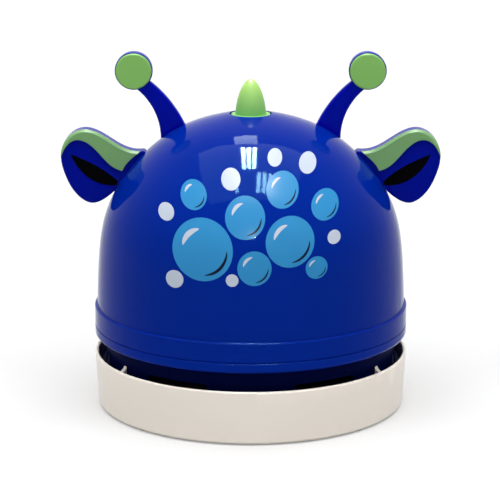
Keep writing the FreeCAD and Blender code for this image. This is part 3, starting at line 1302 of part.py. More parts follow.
def ear_slab(front, depth):
    """Ear's outline with a flat front face, pushed back by a depth."""
    curve = Part.BSplineCurve()
    points = [Vector(x, front, z) for x, z in map(ear_point, EAR_OUTLINE_SHARES)]
    curve.interpolate(Points=points, PeriodicFlag=True)
    middle = (curve.FirstParameter + curve.LastParameter) / 2
    halves = [curve.toShape(curve.FirstParameter, middle), curve.toShape(middle, curve.LastParameter)]
    return extruded(halves, depth)


def ear_inlay_right():
    """Upper part of the ear's outline, down to a bowed lower edge."""
    front = EAR_BACK - EAR_INLAY_RISE
    depth = EAR_INLAY_RISE + EAR_INLAY_SOCKET
    low = [ear_point(shares) for shares in EAR_INLAY_LOW_SHARES]
    root = [ear_point(shares) for shares in EAR_INLAY_ROOT_SHARES]
    room = [root[-1]] + [ear_point(shares) for shares in EAR_INLAY_ROOM_SHARES] + [low[0]]
    corners = [Vector(x, front, z) for x, z in room]
    sides = [Part.LineSegment(start, end).toShape() for start, end in zip(corners, corners[1:])]
    region = extruded([spline_edge(low, front), spline_edge(root, front)] + sides, depth)
    slab = ear_slab(front, depth)
    front_rim = [edge for edge in slab.Edges if edge.BoundBox.YMax < front + FIT_GAP]
    return slab.makeChamfer(EAR_INLAY_BEVEL, front_rim).common(region)


def ear_right():
    leaf = ear_slab(EAR_BACK, EAR_THICKNESS)
    rims = [edge for edge in leaf.Edges if edge.BoundBox.YLength < FIT_GAP]
    leaf = leaf.makeFillet(EAR_EDGE_ROUND, rims)
    return fused([leaf.cut(dome_solid(0)), ear_tab(1)]).cut(ear_inlay_right())


# Leads

def lead(points):
    """Tube through straight runs joined by tangent arcs as large as their runs allow."""
    corners = [Vector(*point) for point in points]
    edges = []
    here = corners[0]
    radii = []
    for before, corner, after in zip(corners, corners[1:], corners[2:]):
        back = (before - corner).normalize()
        ahead = (after - corner).normalize()
        half_turn = (math.pi - back.getAngle(ahead)) / 2
        run = LEAD_ARC_SHARE * min(before.distanceToPoint(corner), after.distanceToPoint(corner))
        radius = run / math.tan(half_turn)
        radii.append(round(radius, 1))
        into = corner + back * run
        away = corner + ahead * run
        inward = (back + ahead).normalize()
        middle = corner + inward * (radius / math.cos(half_turn) - radius)
        edges.append(Part.LineSegment(here, into).toShape())
        edges.append(Part.Arc(into, middle, away).toShape())
        here = away
    edges.append(Part.LineSegment(here, corners[-1]).toShape())
    path = Part.Wire(edges)
    start = (corners[1] - corners[0]).normalize()
    ring = Part.Wire([Part.Circle(corners[0], start, LEAD_RADIUS).toShape()])
    shape = path.makePipeShell([ring], True, False)
    ideal = math.pi * LEAD_RADIUS ** 2 * path.Length
    print("lead radii", radii, "volume share", round(shape.Volume / ideal, 3))
    return shape


os.makedirs("parts", exist_ok=True)

save("base_ring", base_ring())
save("dust_cup", dust_cup())
save("base_screws", base_screws())
save("glide_feet", glide_feet())
save("brush_carrier", brush_carrier())
save("bristle_tufts", bristle_tufts())

save("seal_ring", seal_ring())
save("fan_housing", fan_housing())
save("filter_frame", filter_frame())
save("filter_pad", filter_pad())
save("fan_inlet_plate", fan_inlet_plate())
save("inlet_plate_screws", inlet_plate_screws())
save("fan_housing_screws", fan_housing_screws())
save("lower_housing", lower_housing())
save("upper_housing", upper_housing())
save("housing_screws", housing_screws())

save("motor_can", motor_can())
save("motor_end_cap", motor_end_cap())
save("motor_bushings", motor_bushings())
save("motor_magnets", motor_magnets())
save("motor_brushes", motor_brushes())
save("motor_terminals", motor_terminals())
save("motor_bracket", motor_bracket())
save("bracket_screws", bracket_screws())

save("motor_shaft", motor_shaft())
save("armature_core", armature_core())
save("armature_windings", armature_windings())
save("commutator", commutator())
save("impeller", impeller())

save("battery_tray", battery_tray())
save("tray_screws", tray_screws())
save("battery_lower", battery(0))
save("battery_upper", battery(1))
save("contact_plates", contact_plates())
save("contact_leaves", contact_leaves())
save("battery_door", battery_door())
save("door_screw", door_screw())

save("horn_button", horn_button())
save("switch_plunger", switch_plunger())
save("switch_body", switch_body())
save("switch_board", switch_board())
save("board_screws", board_screws())

paired = {
    "antenna": antenna_right(),
    "antenna_cap": antenna_cap_right(),
    "ear": ear_right(),
    "ear_inlay": ear_inlay_right(),
}
for piece, shape in paired.items():
    save("right_" + piece, shape)
    save("left_" + piece, mirrored(shape))

save("lead_battery_motor", lead(LEAD_BATTERY_MOTOR))
save("lead_switch_motor", lead(LEAD_SWITCH_MOTOR))
save("lead_battery_switch", lead(LEAD_BATTERY_SWITCH))
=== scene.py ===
import math

import bpy
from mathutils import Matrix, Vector
from mathutils.bvhtree import BVHTree


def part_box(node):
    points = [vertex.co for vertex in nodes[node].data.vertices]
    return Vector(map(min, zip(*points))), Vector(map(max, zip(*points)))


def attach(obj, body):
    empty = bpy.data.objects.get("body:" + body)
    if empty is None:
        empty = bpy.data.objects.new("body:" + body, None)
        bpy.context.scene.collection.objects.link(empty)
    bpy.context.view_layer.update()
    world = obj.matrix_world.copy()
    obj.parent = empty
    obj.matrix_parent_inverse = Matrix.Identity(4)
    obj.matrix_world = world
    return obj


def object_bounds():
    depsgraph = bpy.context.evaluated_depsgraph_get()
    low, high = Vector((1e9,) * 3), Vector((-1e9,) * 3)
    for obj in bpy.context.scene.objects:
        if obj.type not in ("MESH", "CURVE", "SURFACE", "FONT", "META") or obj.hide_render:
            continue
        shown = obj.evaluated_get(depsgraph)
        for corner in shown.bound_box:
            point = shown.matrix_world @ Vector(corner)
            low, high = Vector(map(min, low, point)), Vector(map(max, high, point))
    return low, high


# Desktop mini vacuum cleaner. Metres, +Z up, the front faces -Y.

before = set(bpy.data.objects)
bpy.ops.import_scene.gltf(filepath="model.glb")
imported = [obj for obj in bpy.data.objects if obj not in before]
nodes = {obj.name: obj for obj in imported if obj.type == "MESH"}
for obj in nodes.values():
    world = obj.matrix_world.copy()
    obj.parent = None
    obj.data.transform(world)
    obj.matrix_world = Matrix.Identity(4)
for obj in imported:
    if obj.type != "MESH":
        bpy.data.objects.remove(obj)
cad_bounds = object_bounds()
mm = 0.001

# Camera, fitted to the rim, the seam and the dome's outline
PHOTO_WIDTH_PX = 500
FOCAL_PX = 2262
SENSOR_WIDTH_MM = 36
CAMERA_AIM = Vector((-0.2 * mm, 0, 44.2 * mm))
CAMERA_DISTANCE = 650 * mm
CAMERA_ELEVATION = math.radians(13.95)

# Floor and world, both brighter where they are seen than in the light that they give
FLOOR_HALF = 4.0
FLOOR_COLOUR = (0.5, 0.5, 0.5)
FLOOR_LIFT_NEAR = 0.25
FLOOR_LIFT_FAR = 0.58
FLOOR_LIFT_HORIZON = 0.45
FLOOR_NEAR = 70 * mm
FLOOR_FAR = 800 * mm
FLOOR_HORIZON = 2600 * mm
WORLD_LIGHT = 0.25
WORLD_SEEN = 1.0

# Soft lights, each with its place, size and power
LIGHT_AIM = (0, 0, 50 * mm)
OVERHEAD_PLACE = (0, -0.05, 1.3)
OVERHEAD_SIZE = (1.4, 1.2)
OVERHEAD_POWER = 25
SIDE_PLACE = (0.75, -0.62, 0.85)
SIDE_SIZE = (0.7, 0.7)
SIDE_POWER = 3.4

# Lights that show only as a gloss on the dome: a lamp in front, a panel behind and two rows of ceiling tubes
FRONT_LAMP_PLACE = (0.03, -0.80, 0.50)
FRONT_LAMP_SIZE = (0.04, 0.03)
FRONT_LAMP_POWER = 3
BACK_PANEL_SPOT = (-0.05, 0.66)
BACK_PANEL_SIZE = (0.24, 0.33)
BACK_PANEL_POWER = 5
CEILING_HEIGHT = 1.25
REAR_TUBES = (-0.084, -0.022, 0.040)
REAR_TUBE_DEPTH = 0.125
REAR_TUBE_SIZE = (0.045, 0.47)
REAR_TUBE_POWER = 27
FRONT_TUBES = (-0.19, 0.11, 0.185, 0.26)
FRONT_TUBE_DEPTH = -0.33
FRONT_TUBE_SIZE = (0.050, 0.34)
FRONT_TUBE_POWER = 8

# Surface detail
MOULD_GRAIN = 0.9 * mm
MOULD_GRAIN_DEPTH = 0.004 * mm
MOULD_TONE_SIZE = 28 * mm
MOULD_GLOSS_SHARES = (0.85, 1.15)
# Painted highlight on edges: how much lighter, how much of it shows, and the pointiness over which it rises
EDGE_HIGHLIGHT_SHARE = 1.25
EDGE_HIGHLIGHT_COVER_SHARE = 0.5
EDGE_HIGHLIGHT_POINTINESS = (0.52, 0.62)
SHELL_GRAIN_DEPTH = 0.0006 * mm
SHELL_EDGE_ROUND = 0.35 * mm
EDGE_ROUND = 0.18 * mm
GRIT = 0.35 * mm
GRIT_DEPTH = 0.012 * mm
FERRITE_GRAIN = 0.2 * mm
FERRITE_GRAIN_DEPTH = 0.02 * mm
RUBBER_GRAIN = 0.25 * mm
RUBBER_GRAIN_DEPTH = 0.01 * mm
HORN_GRAIN = 0.5 * mm
HORN_GRAIN_DEPTH = 0.008 * mm
HORN_ROUGHNESS = (0.3, 0.42)
HORN_SCATTER = 1.6 * mm
HORN_SCATTER_SHARES = (1.0, 1.0, 0.5)
STREAK = 0.3 * mm
STREAK_DEPTH = 0.004 * mm
METAL_TONE_SIZE = 6 * mm
METAL_TONE_SHARES = (0.85, 1.1)
METAL_GLOSS_SHARES = (0.7, 1.3)
WIRE_PITCH = 0.3 * mm
WAVE_LENGTH_AT_SCALE_1 = 0.314
FIBRE_SIZE = 0.5 * mm
BRISTLE_STREAK = 0.18 * mm
BRISTLE_STREAK_DEPTH = 0.08 * mm
CELL_BAND_LENGTH = 14.0 * mm
CELL_BAND_BLUR = 0.2 * mm
CELL_TONE_SIZE = 8 * mm
CELL_WORN_SHARE = 0.15
CELL_RELIEF = 0.01 * mm
BOARD_PITCH = 3 * mm
BOARD_TRACK_SHARE = 0.08
BOARD_RELIEF = 0.02 * mm
INK_GRAIN = 0.35 * mm
INK_GRAIN_DEPTH = 0.003 * mm
INK_TONE_SIZE = 12 * mm
INK_TONE_SHARES = (0.92, 1.06)
INK_GLOSS_SHARES = (0.8, 1.2)
PRINT_LIFT = 0.04 * mm
SECOND_PRINT_LIFT = 0.07 * mm
PRINT_EDGE_ANGLE = math.radians(40)

# Printed bubbles on the front: across, height and radius in millimetres
BUBBLES = (
    (-13.0, 54.0, 8.2), (1.0, 49.6, 4.6), (-1.5, 62.5, 5.4), (10.6, 56.2, 6.6), (-15.5, 67.4, 3.6),
    (8.6, 69.0, 4.4), (20.2, 64.6, 3.8), (17.8, 49.0, 3.0),
)
SMALL_BUBBLES = (
    (-5.4, 71.6, 2.6), (-23.0, 62.6, 2.2), (6.6, 76.4, 2.0), (22.6, 56.4, 1.8), (-5.0, 46.4, 1.7),
    (15.6, 74.6, 2.4), (-20.6, 45.6, 2.4),
)
GLINT_RADIUS_SHARE = 0.66
GLINT_WIDTH_SHARE = 0.17
GLINT_ANGLES = (100, 170)
SHADE_RADIUS_SHARE = 0.80
SHADE_WIDTH_SHARE = 0.10
SHADE_ANGLES = (-85, 0)

# Dark stripe on each ear: points of its middle line and its widest place, in millimetres
STRIPE_LINE = ((37.0, 63.4), (44.4, 65.2), (51.2, 72.0))
STRIPE_HALF_WIDTH = 2.1

# How print bands taper: the power of the taper, and the share of the width that is left at an end
GLINT_TAPER_POWER = 0.6
STRIPE_TAPER_POWER = 0.8
BLUNT_END_SHARE = 0.03


def new_object(name, vertices, faces, smooth=True):
    mesh = bpy.data.meshes.new(name)
    mesh.from_pydata([tuple(point) for point in vertices], [], faces)
    mesh.validate()
    mesh.polygons.foreach_set("use_smooth", [smooth] * len(mesh.polygons))
    mesh.update()
    made = bpy.data.objects.new(name, mesh)
    bpy.context.scene.collection.objects.link(made)
    return made


# Materials

def node(tree, kind, **values):
    """New shader node. Each value sets a property, or an input named with spaces as underscores."""
    made = tree.nodes.new(kind)
    for name, value in values.items():
        if hasattr(made, name):
            setattr(made, name, value)
        else:
            made.inputs[name.replace("_", " ")].default_value = value
    return made


def join(tree, start, end):
    tree.links.new(start, end)


def new_material(name):
    made = bpy.data.materials.new(name)
    made.use_nodes = True
    tree = made.node_tree
    return made, tree, tree.nodes["Principled BSDF"]


def object_place(tree, stretch=(1.0, 1.0, 1.0)):
    """Place on the object, stretched by a factor each way."""
    coords = node(tree, "ShaderNodeTexCoord")
    mapping = node(tree, "ShaderNodeMapping")
    mapping.inputs["Scale"].default_value = stretch
    join(tree, coords.outputs["Object"], mapping.inputs["Vector"])
    return mapping.outputs["Vector"]


def noise(tree, place, size, detail=3.0, roughness=0.5):
    made = node(tree, "ShaderNodeTexNoise", Scale=1 / size, Detail=detail, Roughness=roughness)
    join(tree, place, made.inputs["Vector"])
    return made.outputs["Fac"]


def ranged(tree, value, low, high, start=0.0, end=1.0):
    """Value moved from the range start to end onto the range low to high."""
    made = node(tree, "ShaderNodeMapRange", From_Min=start, From_Max=end, To_Min=low, To_Max=high)
    join(tree, value, made.inputs["Value"])
    return made.outputs["Result"]


def mixed(tree, share, first, second):
    """Colour between two, where each is a colour or a socket."""
    made = node(tree, "ShaderNodeMix", data_type="RGBA")
    join(tree, share, made.inputs["Factor"])
    for name, colour in (("A", first), ("B", second)):
        socket = next(s for s in made.inputs if s.name == name and s.type == "RGBA")
        if isinstance(colour, tuple):
            socket.default_value = (*colour, 1)
        else:
            join(tree, colour, socket)
    return next(s for s in made.outputs if s.type == "RGBA")


def scaled(colour, factor):
    return tuple(channel * factor for channel in colour)


def relief(tree, shader, height, depth, edge=EDGE_ROUND):
    """Bump of a real depth over softened edges."""
    bump = node(tree, "ShaderNodeBump", Strength=1.0, Distance=depth)
    join(tree, height, bump.inputs["Height"])
    if edge:
        bevel = node(tree, "ShaderNodeBevel", samples=4, Radius=edge)
        join(tree, bevel.outputs["Normal"], bump.inputs["Normal"])
    join(tree, bump.outputs["Normal"], shader.inputs["Normal"])


def painted_edge_highlight(tree, tinted, colour):
    """Painted highlight: edges made lighter than the faces, as if they caught more light."""
    geometry = node(tree, "ShaderNodeNewGeometry")
    edge = ranged(tree, geometry.outputs["Pointiness"], 0.0, EDGE_HIGHLIGHT_COVER_SHARE, *EDGE_HIGHLIGHT_POINTINESS)
    return mixed(tree, edge, tinted, scaled(colour, EDGE_HIGHLIGHT_SHARE))


def spread(tree, value, middle, shares):
    """Value stretched over a range about its middle, from the lower share to the upper."""
    low, high = shares
    return ranged(tree, value, middle * low, middle * high)


def moulded(name, colour, roughness, level=0.5, tone=0.06, grain=MOULD_GRAIN, depth=MOULD_GRAIN_DEPTH,
            edge=EDGE_ROUND, gloss=(1.0, 1.0, 1.0)):
    """Moulded plastic: soft tone changes, uneven gloss, fine ripple and a painted highlight on the edges."""
    made, tree, shader = new_material(name)
    place = object_place(tree)
    clouds = noise(tree, place, MOULD_TONE_SIZE)
    ripple = noise(tree, place, grain)
    tinted = mixed(tree, clouds, scaled(colour, 1 - tone), scaled(colour, 1 + tone))
    # Base colour: random tone, made lighter at the edges as a painted highlight
    join(tree, painted_edge_highlight(tree, tinted, colour), shader.inputs["Base Color"])
    join(tree, spread(tree, ripple, roughness, MOULD_GLOSS_SHARES), shader.inputs["Roughness"])
    shader.inputs["Specular IOR Level"].default_value = level
    shader.inputs["Specular Tint"].default_value = (*gloss, 1)
    relief(tree, shader, ripple, depth, edge)
    return made


def shell_blue(name, colour):
    """Polished blue moulding."""
    return moulded(
        name, colour, roughness=0.05, level=0.045, depth=SHELL_GRAIN_DEPTH, edge=SHELL_EDGE_ROUND,
        gloss=(0.3, 0.85, 1.0))


def gritty(name, colour):
    """Green moulding with a spark-eroded face."""
    return moulded(name, colour, roughness=0.34, level=0.1, tone=0.04, grain=GRIT, depth=GRIT_DEPTH)


def rubbery(name, colour, roughness):
    return moulded(
        name, colour, roughness, level=0.35, tone=0.12, grain=RUBBER_GRAIN, depth=RUBBER_GRAIN_DEPTH)


def brushed(name, colour, roughness, stretch=(1.0, 1.0, 0.05)):
    """Metal with fine drawn streaks along one axis."""
    made, tree, shader = new_material(name)
    streaks = noise(tree, object_place(tree, stretch), STREAK, detail=5.0)
    clouds = noise(tree, object_place(tree), METAL_TONE_SIZE)
    dark, light = (scaled(colour, share) for share in METAL_TONE_SHARES)
    join(tree, mixed(tree, clouds, dark, light), shader.inputs["Base Color"])
    join(tree, spread(tree, streaks, roughness, METAL_GLOSS_SHARES), shader.inputs["Roughness"])
    shader.inputs["Metallic"].default_value = 1.0
    relief(tree, shader, streaks, STREAK_DEPTH)
    return made


def wound(name, colour, groove_shade_share=0.45, relief_share=1 / 3):
    """Enamelled wire laid turn beside turn, painted darker in the grooves between turns as shade."""
    made, tree, shader = new_material(name)
    scale = WAVE_LENGTH_AT_SCALE_1 / WIRE_PITCH
    wave = node(tree, "ShaderNodeTexWave", bands_direction="Z", Scale=scale, Distortion=0.6)
    join(tree, object_place(tree), wave.inputs["Vector"])
    # Darker between the turns: painted shade in the grooves
    turns = mixed(tree, wave.outputs["Fac"], scaled(colour, groove_shade_share), colour)
    join(tree, turns, shader.inputs["Base Color"])
    shader.inputs["Metallic"].default_value = 1.0
    shader.inputs["Roughness"].default_value = 0.32
    relief(tree, shader, wave.outputs["Fac"], WIRE_PITCH * relief_share)
    return made


def fibrous(name, colour, pore_shade_share=0.7, fibre_share=1.1):
    """Felt or foam: matted fibres, with darker spots that paint the shade in its open holes."""
    made, tree, shader = new_material(name)
    place = object_place(tree)
    pore_shade_spots = node(tree, "ShaderNodeTexVoronoi", Scale=1 / FIBRE_SIZE)
    join(tree, place, pore_shade_spots.inputs["Vector"])
    fibres = noise(tree, object_place(tree, (1.0, 0.25, 1.0)), FIBRE_SIZE / 2, detail=6.0)
    # Darker spots over the cells: painted shade of holes
    shade = mixed(tree, pore_shade_spots.outputs["Distance"], scaled(colour, pore_shade_share), colour)
    join(tree, mixed(tree, fibres, shade, scaled(colour, fibre_share)), shader.inputs["Base Color"])
    shader.inputs["Roughness"].default_value = 0.95
    shader.inputs["Sheen Weight"].default_value = 0.3
    relief(tree, shader, fibres, FIBRE_SIZE / 4)
    return made


def bristled(name, colour, dark_share=0.35, light_share=1.15):
    """Nylon filament: fine streaks up and down each tuft."""
    made, tree, shader = new_material(name)
    streaks = noise(tree, object_place(tree, (1.0, 1.0, 0.04)), BRISTLE_STREAK, detail=2.0)
    dark, light = scaled(colour, dark_share), scaled(colour, light_share)
    join(tree, mixed(tree, streaks, dark, light), shader.inputs["Base Color"])
    shader.inputs["Roughness"].default_value = 0.5
    relief(tree, shader, streaks, BRISTLE_STREAK_DEPTH)
    return made


def top_of(name):
    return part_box(name)[1].z


def horn_green(name, low_colour, tip_colour):
    """Soft translucent green, lighter towards the tip."""
    made, tree, shader = new_material(name)
    place = object_place(tree)
    split = node(tree, "ShaderNodeSeparateXYZ")
    join(tree, place, split.inputs["Vector"])
    rise = ranged(tree, split.outputs["Z"], 0.0, 1.0, top_of("upper_housing"), top_of("horn_button"))
    ripple = noise(tree, place, HORN_GRAIN)
    join(tree, mixed(tree, rise, low_colour, tip_colour), shader.inputs["Base Color"])
    join(tree, ranged(tree, ripple, *HORN_ROUGHNESS), shader.inputs["Roughness"])
    shader.inputs["Specular IOR Level"].default_value = 0.1
    shader.inputs["Subsurface Weight"].default_value = 0.35
    shader.inputs["Subsurface Radius"].default_value = HORN_SCATTER_SHARES
    shader.inputs["Subsurface Scale"].default_value = HORN_SCATTER
    relief(tree, shader, ripple, HORN_GRAIN_DEPTH)
    return made


def cell_jacket(name, side):
    """Dark sleeve with a copper-coloured band at the nub's end."""
    made, tree, shader = new_material(name)
    place = object_place(tree)
    split = node(tree, "ShaderNodeSeparateXYZ")
    join(tree, place, split.inputs["Vector"])
    edge = (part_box("battery_lower")[1].x - CELL_BAND_LENGTH) * side
    band = ranged(tree, split.outputs["X"], 0.0, 1.0, edge - side * CELL_BAND_BLUR, edge)
    clouds = noise(tree, place, CELL_TONE_SIZE)
    worn = ranged(tree, clouds, 0.0, CELL_WORN_SHARE)
    sleeve, copper, scuff = (0.016, 0.017, 0.02), (0.50, 0.24, 0.08), (0.25, 0.25, 0.25)
    scuffed = mixed(tree, worn, mixed(tree, band, sleeve, copper), scuff)
    join(tree, scuffed, shader.inputs["Base Color"])
    shader.inputs["Metallic"].default_value = 0.4
    shader.inputs["Roughness"].default_value = 0.3
    relief(tree, shader, clouds, CELL_RELIEF)
    return made


def board_green(name):
    """Coated laminate with faint copper tracks under the coat."""
    made, tree, shader = new_material(name)
    place = object_place(tree)
    weave = node(tree, "ShaderNodeTexBrick", Scale=1 / BOARD_PITCH, Mortar_Size=BOARD_TRACK_SHARE)
    join(tree, place, weave.inputs["Vector"])
    coat, track = (0.02, 0.14, 0.05), (0.05, 0.24, 0.08)
    join(tree, mixed(tree, weave.outputs["Fac"], coat, track), shader.inputs["Base Color"])
    shader.inputs["Roughness"].default_value = 0.35
    relief(tree, shader, weave.outputs["Fac"], BOARD_RELIEF)
    return made


def ink(name, colour, roughness=0.25, level=0.06):
    """Printed ink: thin, even and a little glossy, with a faint screen texture."""
    made, tree, shader = new_material(name)
    place = object_place(tree)
    screen = noise(tree, place, INK_GRAIN)
    clouds = noise(tree, place, INK_TONE_SIZE)
    dark, light = (scaled(colour, share) for share in INK_TONE_SHARES)
    join(tree, mixed(tree, clouds, dark, light), shader.inputs["Base Color"])
    join(tree, spread(tree, screen, roughness, INK_GLOSS_SHARES), shader.inputs["Roughness"])
    shader.inputs["Specular IOR Level"].default_value = level
    relief(tree, shader, screen, INK_GRAIN_DEPTH, edge=0)
    return made


def make_finishes():
    return {
        "blue_shell": shell_blue("moulded_blue", (0.0004, 0.016, 0.25)),
        "cream_ring": moulded("moulded_cream", (0.89, 0.825, 0.74), roughness=0.34, level=0.3, tone=0.02),
        "navy_inner": moulded("moulded_navy", (0.0006, 0.0025, 0.036), roughness=0.4, level=0.008),
        "green_trim": gritty("moulded_green", (0.22, 0.48, 0.12)),
        "black_plastic": moulded("moulded_black", (0.02, 0.02, 0.022), roughness=0.5),
        "white_plastic": moulded("moulded_white", (0.75, 0.75, 0.73), roughness=0.4, tone=0.02),
        "foot_rubber": rubbery("foot_rubber_grey", (0.05, 0.05, 0.05), roughness=0.8),
        "seal_rubber": fibrous("foam_seal", (0.12, 0.12, 0.13)),
        "bristle": bristled("nylon_bristle", (0.60, 0.60, 0.62)),
        "filter_felt": fibrous("filter_felt_white", (0.78, 0.78, 0.75)),
        "screw_steel": brushed("screw_plated", (0.55, 0.55, 0.56), roughness=0.3),
        "motor_steel": brushed("motor_plated", (0.50, 0.51, 0.52), roughness=0.35),
        "ferrite": moulded(
            "ferrite_grey", (0.06, 0.06, 0.065), roughness=0.7, tone=0.2,
            grain=FERRITE_GRAIN, depth=FERRITE_GRAIN_DEPTH),
        "copper": wound("copper_wire", (0.60, 0.26, 0.12)),
        "contact_metal": brushed(
            "contact_plated", (0.70, 0.66, 0.55), roughness=0.28, stretch=(1.0, 0.05, 1.0)),
        "cell_jacket": cell_jacket("cell_sleeve_right", side=1),
        "board_laminate": board_green("board_green"),
        "lead_red": rubbery("lead_insulation_red", (0.45, 0.02, 0.02), roughness=0.45),
        "lead_black": rubbery("lead_insulation_black", (0.02, 0.02, 0.02), roughness=0.45),
    }


def dress_nodes():
    """Finish for each node by its slot, apart from the few that have their own."""
    finishes = make_finishes()
    # Darker copy of the green trim for the ear inlays: painted shade
    painted_shade_ear_green = gritty("moulded_painted_shade_ear_green", (0.165, 0.34, 0.135))
    # Copies of the shell blue set to how light and reflection make the antennae and ears look: painted
    # light; the antennae's is brighter, the ears' has less green
    painted_light_antenna_blue = shell_blue("moulded_painted_light_antenna_blue", (0.0004, 0.0015, 0.32))
    painted_light_ear_blue = shell_blue("moulded_painted_light_ear_blue", (0.0004, 0.0020, 0.258))
    special = {
        "left_antenna": painted_light_antenna_blue,
        "right_antenna": painted_light_antenna_blue,
        "left_ear": painted_light_ear_blue,
        "right_ear": painted_light_ear_blue,
        "horn_button": horn_green(
            "horn_soft_green", low_colour=(0.20, 0.52, 0.15), tip_colour=(0.42, 0.68, 0.18)),
        "left_ear_inlay": painted_shade_ear_green,
        "right_ear_inlay": painted_shade_ear_green,
        "battery_upper": cell_jacket("cell_sleeve_left", side=-1),
    }
    for name, item in nodes.items():
        slot = item.data.materials[0].name
        item.data.materials[0] = special.get(name, finishes[slot])


# Print that lies on a CAD surface

def surface_of(name):
    mesh = nodes[name].data
    vertices = [vertex.co.copy() for vertex in mesh.vertices]
    return BVHTree.FromPolygons(vertices, [tuple(face.vertices) for face in mesh.polygons])


def landed(surface, x, z, lift):
    """Point on the surface seen from the front at x and z, raised by the lift."""
    start = Vector((x, cad_bounds[0].y - mm, z))
    place, normal, _, _ = surface.ray_cast(start, Vector((0, 1, 0)))
    if normal.y > 0:
        normal = -normal
    return place + normal * lift


def skin(surface, spots, patches, lift):
    """Thin closed skin over patches of (x, z) spots, which run anticlockwise as seen from the front."""
    count = len(spots)
    vertices = [landed(surface, x, z, height) for height in (0, lift) for x, z in spots]
    faces = [[index + count for index in patch] for patch in patches]
    faces += [patch[::-1] for patch in patches]
    used = {(a, b) for patch in patches for a, b in zip(patch, patch[1:] + patch[:1])}
    for a, b in sorted(used):
        if (b, a) not in used:
            faces.append([a, b, b + count, a + count])
    return vertices, faces


def disc_patch(across, height, radius, turns=48, rings=7):
    """Round patch of rings about a middle point."""
    spots = [(across * mm, height * mm)]
    for ring in range(1, rings + 1):
        for turn in range(turns):
            angle = math.tau * turn / turns
            reach = radius * ring / rings
            spots.append(((across + reach * math.cos(angle)) * mm, (height + reach * math.sin(angle)) * mm))
    patches = [[0, 1 + turn, 1 + (turn + 1) % turns] for turn in range(turns)]
    for ring in range(rings - 1):
        inner, outer = 1 + ring * turns, 1 + (ring + 1) * turns
        for turn in range(turns):
            after = (turn + 1) % turns
            patches.append([inner + turn, outer + turn, outer + after, inner + after])
    return spots, patches


def strip_patch(rows):
    """Patch from rows of spots, where each row runs across the strip."""
    columns = len(rows[0])
    spots = [spot for row in rows for spot in row]
    patches = []
    for row in range(len(rows) - 1):
        for column in range(columns - 1):
            corner = row * columns + column
            patches.append([corner, corner + 1, corner + columns + 1, corner + columns])
    (x0, z0), (x1, z1), (x2, z2) = (spots[index] for index in patches[0][:3])
    if (x1 - x0) * (z2 - z0) - (x2 - x0) * (z1 - z0) < 0:
        patches = [patch[::-1] for patch in patches]
    return spots, patches


def tapered(width, share, power):
    """Width at a share of the way along a band that thins to both ends."""
    return width * max(math.sin(math.pi * share), BLUNT_END_SHARE) ** power


def crescent_patch(across, height, radius, half_width, angles, steps=18):
    """Arc band that tapers to both ends."""
    grid = []
    for step in range(steps + 1):
        share = step / steps
        angle = math.radians(angles[0] + (angles[1] - angles[0]) * share)
        half = tapered(half_width, share, GLINT_TAPER_POWER)
        row = []
        for side in (-1, 0, 1):
            reach = radius + side * half
            row.append(((across + reach * math.cos(angle)) * mm, (height + reach * math.sin(angle)) * mm))
        grid.append(row)
    return strip_patch(grid)


def stripe_patch(side, steps=28):
    """Tapered band along a bowed middle line, on the ear at one side."""
    start, middle, end = (Vector((x, z)) for x, z in STRIPE_LINE)
    grid = []
    for step in range(steps + 1):
        share = step / steps
        point = start * (1 - share) ** 2 + middle * 2 * share * (1 - share) + end * share ** 2
        along = ((middle - start) * (1 - share) + (end - middle) * share).normalized()
        across = Vector((-along.y, along.x)) * tapered(STRIPE_HALF_WIDTH, share, STRIPE_TAPER_POWER)
        row = (point - across, point, point + across)
        grid.append([(side * spot.x * mm, spot.y * mm) for spot in row])
    return strip_patch(grid)


def printed(name, surface, shapes, lift, material):
    """One piece of print that rides on the head, from patches on a surface."""
    vertices, faces = [], []
    for spots, patches in shapes:
        more, sides = skin(surface, spots, patches, lift)
        faces += [[index + len(vertices) for index in side] for side in sides]
        vertices += more
    made = new_object(name, vertices, faces)
    made.data.set_sharp_from_angle(angle=PRINT_EDGE_ANGLE)
    made.data.materials.append(material)
    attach(made, "head")
    return made


def print_front():
    dome = surface_of("upper_housing")
    light_blue = ink("ink_light_blue", (0.030, 0.235, 0.50))
    white = ink("ink_white", (0.47, 0.53, 0.62))
    dark = ink("ink_dark", (0.006, 0.010, 0.030))
    printed("print_bubbles", dome, [disc_patch(*spot) for spot in BUBBLES], PRINT_LIFT, light_blue)
    printed("print_small_bubbles", dome, [disc_patch(*spot) for spot in SMALL_BUBBLES], PRINT_LIFT, white)
    glints, shades = [], []
    for x, z, radius in BUBBLES:
        glint = (radius * GLINT_RADIUS_SHARE, radius * GLINT_WIDTH_SHARE / 2, GLINT_ANGLES)
        shade = (radius * SHADE_RADIUS_SHARE, radius * SHADE_WIDTH_SHARE / 2, SHADE_ANGLES)
        glints.append(crescent_patch(x, z, *glint))
        shades.append(crescent_patch(x, z, *shade))
    printed("print_glints", dome, glints, SECOND_PRINT_LIFT, white)
    printed("print_shades", dome, shades, SECOND_PRINT_LIFT, dark)


def print_ears():
    black = ink("ink_black", (0.001, 0.001, 0.0015), roughness=0.3, level=0.01)
    for name, side in (("left", -1), ("right", 1)):
        surface = surface_of(name + "_ear")
        printed("print_" + name + "_ear", surface, [stripe_patch(side)], PRINT_LIFT, black)


# Stage, light and camera

def seen_share(tree):
    """1 for rays from the camera, a gloss or a clear surface, and 0 for light."""
    path = node(tree, "ShaderNodeLightPath")
    both = node(tree, "ShaderNodeMath", operation="MAXIMUM")
    join(tree, path.outputs["Is Camera Ray"], both.inputs[0])
    join(tree, path.outputs["Is Glossy Ray"], both.inputs[1])
    every = node(tree, "ShaderNodeMath", operation="MAXIMUM")
    join(tree, both.outputs[0], every.inputs[0])
    join(tree, path.outputs["Is Transmission Ray"], every.inputs[1])
    return every.outputs[0]


